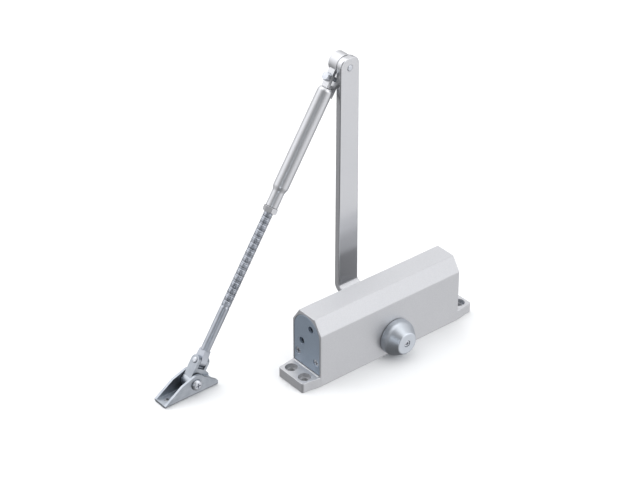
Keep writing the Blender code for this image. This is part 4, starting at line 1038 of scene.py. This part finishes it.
# %% [markdown]
# ## Adjusting rod
# The rod screws into the tube to set the arm's reach. Half of it is threaded, the rest is plain, and its end
# is flattened to an eye for the link's rivet. The threaded stretch is made at the origin by the tree, moved
# into place in its mesh, and joined to the plain stretch.

# %% Adjusting rod and lock nut

ROD_START = 105 * MM
THREAD_END = 251.5 * MM
THREAD_RADIUS = 4.75 * MM
THREAD_DEPTH = 0.45 * MM
SHANK_RADIUS = 4.5 * MM
EYE_THICKNESS = 7.8 * MM
EYE_RADIUS = 5.4 * MM
EYE_LENGTH = 12 * MM
EYE_PIN = 5 * MM
LOCK_NUT_FLATS = 12.47 * MM
LOCK_NUT_HEIGHT = 5.4 * MM


def joined(name, *objects):
    """One object with the meshes of several."""
    bm = bmesh.new()
    for obj in objects:
        bm.from_mesh(obj.data)
        bpy.data.objects.remove(obj, do_unlink=True)
    return settled(name, bm)


def make_rod():
    core = THREAD_RADIUS - 2 * THREAD_DEPTH + 0.12 * MM
    shank_end = to_eye - EYE_LENGTH + 1 * MM
    corners = [(0, ROD_START), (core, ROD_START), (core, THREAD_END), (SHANK_RADIUS, THREAD_END + 1.5 * MM)]
    corners += [(SHANK_RADIUS, shank_end), (0, shank_end)]
    rod = solid("plain_rod", spun(rounded_profile(corners, 0.8 * MM), 64), forearm())
    root = SHANK_RADIUS - 0.6 * MM
    outline = arc((0, 0), EYE_RADIUS, -90, 90, 32) + [(-EYE_LENGTH, root), (-EYE_LENGTH, -root)]
    combine(rod, "UNION", (pushed(outline, -EYE_THICKNESS / 2, EYE_THICKNESS / 2), rod_eye))
    round_edges(rod, 0.5 * MM, steps=3)
    hole = EYE_PIN / 2 + 0.15 * MM
    combine(rod, "DIFFERENCE", (round_bar(hole, -6 * MM, 6 * MM, 48), rod_eye))
    blank = solid("thread blank", round_bar(core * 0.9, 0.2 * MM, 1 * MM, 28), Matrix())
    run_tree(blank, screw_thread, Radius=THREAD_RADIUS, Pitch=THREAD_PITCH,
             Length=THREAD_END - ROD_START - 1 * MM, Depth=THREAD_DEPTH, Finish=rod_zinc)
    blank.data.transform(forearm(ROD_START + 0.5 * MM))
    whole = joined("adjusting_screw_rod", rod, blank)
    finish(whole, rod_zinc, "rod", "bright_zinc", "adjusting_rod", smooth_to=50)


def make_lock_nut():
    low = TUBE_END + 0.25 * MM
    top = low + LOCK_NUT_HEIGHT
    nut = hex_head("hexagon_lock_nut", LOCK_NUT_FLATS, low, top, forearm(), both_ends=True)
    hole = THREAD_RADIUS + 0.15 * MM
    combine(nut, "DIFFERENCE", (round_bar(hole, low - 1 * MM, low + 7 * MM, 64), forearm()))
    round_edges(nut, 0.25 * MM, steps=2, sharper_than=28)
    finish(nut, tube_enamel, "lock_nut_body", "silver_paint", "lock_nut")


make_rod()
make_lock_nut()

# %% [markdown]
# ## Link
# A short fork joins the rod to the shoe. Its two leaves hold the rod's eye on a rivet, and its round boss
# turns on the shoe's screw, at a right angle to the rivet, so that the arm can swing and tilt at once.

# %% Link and its rivet

LEAF_THICKNESS = 3 * MM
LINK_WIDTH = 11.5 * MM
LINK_BOSS_RADIUS = 8 * MM
LEAF_GAP = EYE_THICKNESS / 2 + SEAT_GAP
SHOE_SCREW = 6 * MM
LEAF_RELIEF = 0.45 * MM


def make_link():
    outer, half = LEAF_GAP + LEAF_THICKNESS, LINK_WIDTH / 2
    pivot = aim(shoe_pivot, (0, 1, 0), Vector((forearm_down.x, 0, forearm_down.z)))
    reach = (shoe_pivot - eye_at).length - 3 * MM
    corners = [(0, -half), (LINK_BOSS_RADIUS, -half), (LINK_BOSS_RADIUS, half), (0, half)]
    link = solid("forked_link", spun(rounded_profile(corners, 0.5 * MM), 96), pivot)
    leaf = half - LEAF_RELIEF  # the leaves lean a little, and still pass between the shoe's walls
    outline = arc((0, 0), leaf, 90, 270, 32) + [(reach, -leaf), (reach, leaf)]
    combine(link, "UNION", (pushed(outline, -outer, outer), rod_eye))
    slot = rectangle((-half - 2 * MM, -half - 1 * MM), (EYE_RADIUS + 0.9 * MM, half + 1 * MM))
    combine(link, "DIFFERENCE", (pushed(slot, -LEAF_GAP, LEAF_GAP), rod_eye))
    round_edges(link, 0.5 * MM, steps=3, sharper_than=34)
    pin, bore = EYE_PIN / 2 + 0.1 * MM, SHOE_SCREW / 2 + 0.15 * MM
    combine(link, "DIFFERENCE", (round_bar(pin, -outer - 1 * MM, outer + 1 * MM, 48), rod_eye))
    combine(link, "DIFFERENCE", (round_bar(bore, -half - 1 * MM, half + 1 * MM, 48), pivot))
    finish(link, shoe_zinc, "link", "bright_zinc", "shoe_link")
    pin = EYE_PIN / 2
    head, end = pin + 0.6 * MM, outer + 0.25 * MM
    upper = [(pin, end), (head, end), (head - 0.7 * MM, end + 0.85 * MM), (0, end + 1 * MM)]
    corners = [(x, -z) for x, z in reversed(upper)] + upper
    rivet = solid("link_pin", spun(rounded_profile(corners, 0.4 * MM), 64), rod_eye)
    finish(rivet, screw_zinc, "link", "machined_steel", "rod_rivet")


make_link()

# %% [markdown]
# ## Shoe
# The shoe is pressed from sheet: a flat base with two screw holes, and two walls folded up from it round a
# bend. The folded section is pushed along X and then cut to the walls' side outline, which rises in a
# straight slope to a round top over the pivot and falls away in front.

# %% Shoe

SHEET = 2.5 * MM
APEX_RADIUS = 10 * MM
SHOE_HOLE = 4.8 * MM
SHOE_NUT = 10 * MM  # across flats
HOLE_FROM_END = 7.5 * MM


def folded_section(half, height):
    """A channel's section with round bends, X across and Y up from the base."""
    outer, inner = 2.6 * MM, 0.25 * MM
    right = arc((half - outer, outer), outer, -90, 0, 10) + [(half, height), (half - SHEET, height)]
    right += arc((half - SHEET - inner, SHEET + inner), inner, 0, -90, 6)
    return right + [(-x, y) for x, y in reversed(right)]


def shoe_side(back, front, pivot_height):
    floor = -pivot_height
    apex = arc((0.5 * MM, 0), APEX_RADIUS, 118, 28, 24)
    tip = [(13.6 * MM, 2.2 * MM), (front - 1 * MM, -5 * MM), (front, -6.6 * MM), (front, floor - 1 * MM)]
    return [(back, floor - 1 * MM), (back, floor + SHEET), (-16 * MM, 4.6 * MM)] + apex + tip


def make_shoe():
    low, high = box("shoe_bracket")
    half = (high.y - low.y) / 2
    height = shoe_pivot.z
    section = folded_section(half, high.z + 2 * MM)
    run = aim((0, shoe_pivot.y, 0), (1, 0, 0), (0, 1, 0))
    shoe = solid("pressed_shoe", pushed(section, low.x - 1 * MM, high.x + 1 * MM), run)
    place = aim(shoe_pivot, (0, -1, 0), (1, 0, 0))
    side = shoe_side(low.x - shoe_pivot.x, high.x - shoe_pivot.x, height)
    combine(shoe, "INTERSECT", (pushed(side, -half - 1 * MM, half + 1 * MM), place))
    round_edges(shoe, 0.45 * MM, steps=3)
    hole = SHOE_SCREW / 2 + 0.1 * MM
    combine(shoe, "DIFFERENCE", (round_bar(hole, -12 * MM, 12 * MM, 64), place))
    for x in (low.x + HOLE_FROM_END, high.x - HOLE_FROM_END):
        at = Matrix.Translation((x, shoe_pivot.y, 0))
        combine(shoe, "DIFFERENCE", (round_bar(SHOE_HOLE / 2, -1 * MM, 4 * MM, 48), at))
    finish(shoe, shoe_zinc, "shoe", "bright_zinc", "shoe_bracket")


def make_shoe_screw():
    low, high = box("shoe_screw")
    place = aim(shoe_pivot, (0, -1, 0), (1, 0, 0))
    head, radius = (high.x - low.x) / 2, SHOE_SCREW / 2
    top, end = shoe_pivot.y - low.y, shoe_pivot.y - high.y
    start = top - 2.8 * MM
    corners = [(0, top), (head - 2.2 * MM, top - 0.1 * MM), (head - 0.5 * MM, top - 1.1 * MM), (head, start)]
    corners += [(radius, start), (radius, end + 0.4 * MM), (radius - 0.4 * MM, end), (0, end)]
    screw = solid("shoe_pan_screw", spun(rounded_profile(corners, 0.5 * MM), 64), place)
    combine(screw, "DIFFERENCE", (cross_slot(2.7 * MM, 0.55 * MM, top, 1.7 * MM), place))
    round_edges(screw, 0.08 * MM, steps=2, sharper_than=50)
    finish(screw, screw_zinc, "shoe", "machined_steel", "shoe_screw")
    low, high = box("shoe_nut")
    near, far = shoe_pivot.y - high.y, shoe_pivot.y - low.y
    nut = hex_head("shoe_hexagon_nut", SHOE_NUT, near, far, place, both_ends=True)
    hole = radius + 0.15 * MM
    combine(nut, "DIFFERENCE", (round_bar(hole, -20 * MM, 0, 64), place))
    round_edges(nut, 0.2 * MM, steps=2, sharper_than=28)
    finish(nut, screw_zinc, "shoe", "machined_steel", "shoe_nut")


make_shoe()
make_shoe_screw()

# %% [markdown]
# ## The pieces inside
# The plugs, piston, spring, bearings and seals have the right shape already, so they keep their packed
# meshes and only get a finish.

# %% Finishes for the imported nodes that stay

inside = {
    cylinder_steel: ["cylinder_plug_left", "cylinder_plug_right", "piston", "check_valve_seat", "check_ball"],
    shaft_steel: ["pinion_shaft", "bearing_cap_front", "bearing_cap_rear", "elbow_washer"],
    bronze: ["bearing_front", "bearing_rear"],
    tempered: ["return_spring"],
    nitrile: ["plug_seal_left", "plug_seal_right", "piston_seal", "shaft_seal_front", "shaft_seal_rear",
              "closing_valve_seal", "latching_valve_seal"],
}
for material, names in inside.items():
    for name in names:
        data = frame["nodes"][name].data
        data.materials.clear()
        data.materials.append(material)
print(sum(len(names) for names in inside.values()), "packed nodes refinished")

# %% [markdown]
# ## Floor, light and camera
# The closer lies on a plain pale floor. Most of its light comes from the world: five smooth glows round it,
# over a weak even light, as white reflectors round a studio table give. Three soft boxes add to them: one
# overhead, one in front and to the right, and a narrow one low on the left that puts a bright line down
# round parts. The floor doesn't light the object from below, so the ends stay darker than the top, as they
# do where the table is small.

# %% Floor and world

# where each glow comes from, how narrow it is, and its strength
GLOWS = (
    ((0.55, -0.75, -0.25), 2.2, 1.05),
    ((0.53, -0.76, 0.38), 7.0, 1.0),
    ((0.4, 0.5, 0.75), 2.0, 1.0),
    ((-0.62, 0.6, 0.3), 3.0, 1.15),
    ((-0.2, 0.65, 0.74), 5.0, 0.9),
)
BASE_GLOW = 0.16

floor_mesh = bpy.data.meshes.new("floor")
floor_mesh.from_pydata([(-6, -6, 0), (6, -6, 0), (6, 6, 0), (-6, 6, 0)], [], [(0, 1, 2, 3)])
floor = new_object("floor", floor_mesh)
paper, _, paper_shader = principled("matt white paper", Roughness=0.9)
paper_shader.inputs["Base Color"].default_value = linear("#F7F8F8")
floor_mesh.materials.append(paper)
floor.visible_diffuse = False
floor.visible_glossy = False

world = bpy.data.worlds.new("studio")
bpy.context.scene.world = world
world.use_nodes = True
world_tree = world.node_tree
sky = world_tree.nodes["Background"]
direction = add(world_tree, "ShaderNodeTexCoord").outputs["Generated"]


def glow(towards, sharpness, strength):
    """Light that comes from round one direction and falls off smoothly."""
    facing = add(world_tree, "ShaderNodeVectorMath", {"operation": "DOT_PRODUCT"},
                 {0: direction, 1: Vector(towards).normalized()})
    above = add(world_tree, "ShaderNodeMath", {"operation": "MAXIMUM"}, {0: facing.outputs["Value"], 1: 0.0})
    curve = add(world_tree, "ShaderNodeMath", {"operation": "POWER"}, {0: above.outputs[0], 1: sharpness})
    lit = add(world_tree, "ShaderNodeMath", {"operation": "MULTIPLY"}, {0: curve.outputs[0], 1: strength})
    return lit.outputs[0]


total = BASE_GLOW
for lobe in GLOWS:
    total = add(world_tree, "ShaderNodeMath", {"operation": "ADD"}, {0: glow(*lobe), 1: total}).outputs[0]
world_tree.links.new(total, sky.inputs["Strength"])
sky.inputs["Color"].default_value = linear("#FAFAFC")
print("world and floor ready")

# %% Lights


def soft_box(name, place, target, size, watts, colour="#FFFFFF"):
    light = bpy.data.lights.new(name, "AREA")
    light.shape = "RECTANGLE"
    light.size, light.size_y = size
    light.energy = watts
    light.color = linear(colour)[:3]
    obj = new_object(name, light)
    obj.location = place
    obj.rotation_euler = (Vector(target) - Vector(place)).to_track_quat("-Z", "Y").to_euler()


middle = (Vector(cad_box[0]) + Vector(cad_box[1])) / 2
soft_box("overhead", middle + Vector((0.15, 0.1, 1.5)), middle, (1.6, 1.6), 6)
soft_box("front", middle + Vector((0.3, -1.3, 1.2)), middle, (1.2, 1.0), 6)
soft_box("low strip", middle + Vector((-1.1, -0.9, 0.1)), middle, (0.12, 0.9), 2.2, "#E8F0FA")

# %% Camera

AZIMUTH = math.radians(-39.13)
ELEVATION = math.radians(32.87)
DISTANCE = 1986.8 * MM
ASIDE = -55.33 * MM
ABOVE = 100.41 * MM
LENS = 114.49

camera_data = bpy.data.cameras.new("camera")
camera_data.lens = LENS
camera_data.sensor_width = 36
camera = new_object("camera", camera_data)
bpy.context.scene.camera = camera
level = Vector((math.sin(AZIMUTH), -math.cos(AZIMUTH), 0))
back = level * math.cos(ELEVATION) + Vector((0, 0, math.sin(ELEVATION)))
right = Vector((math.cos(AZIMUTH), math.sin(AZIMUTH), 0))
up = back.cross(right)
camera.matrix_world = Matrix((right, up, back)).transposed().to_4x4()
camera.location = right * ASIDE + up * ABOVE + back * DISTANCE
bpy.context.scene.view_settings.view_transform = "Standard"
print("camera at", [round(v, 3) for v in camera.location])
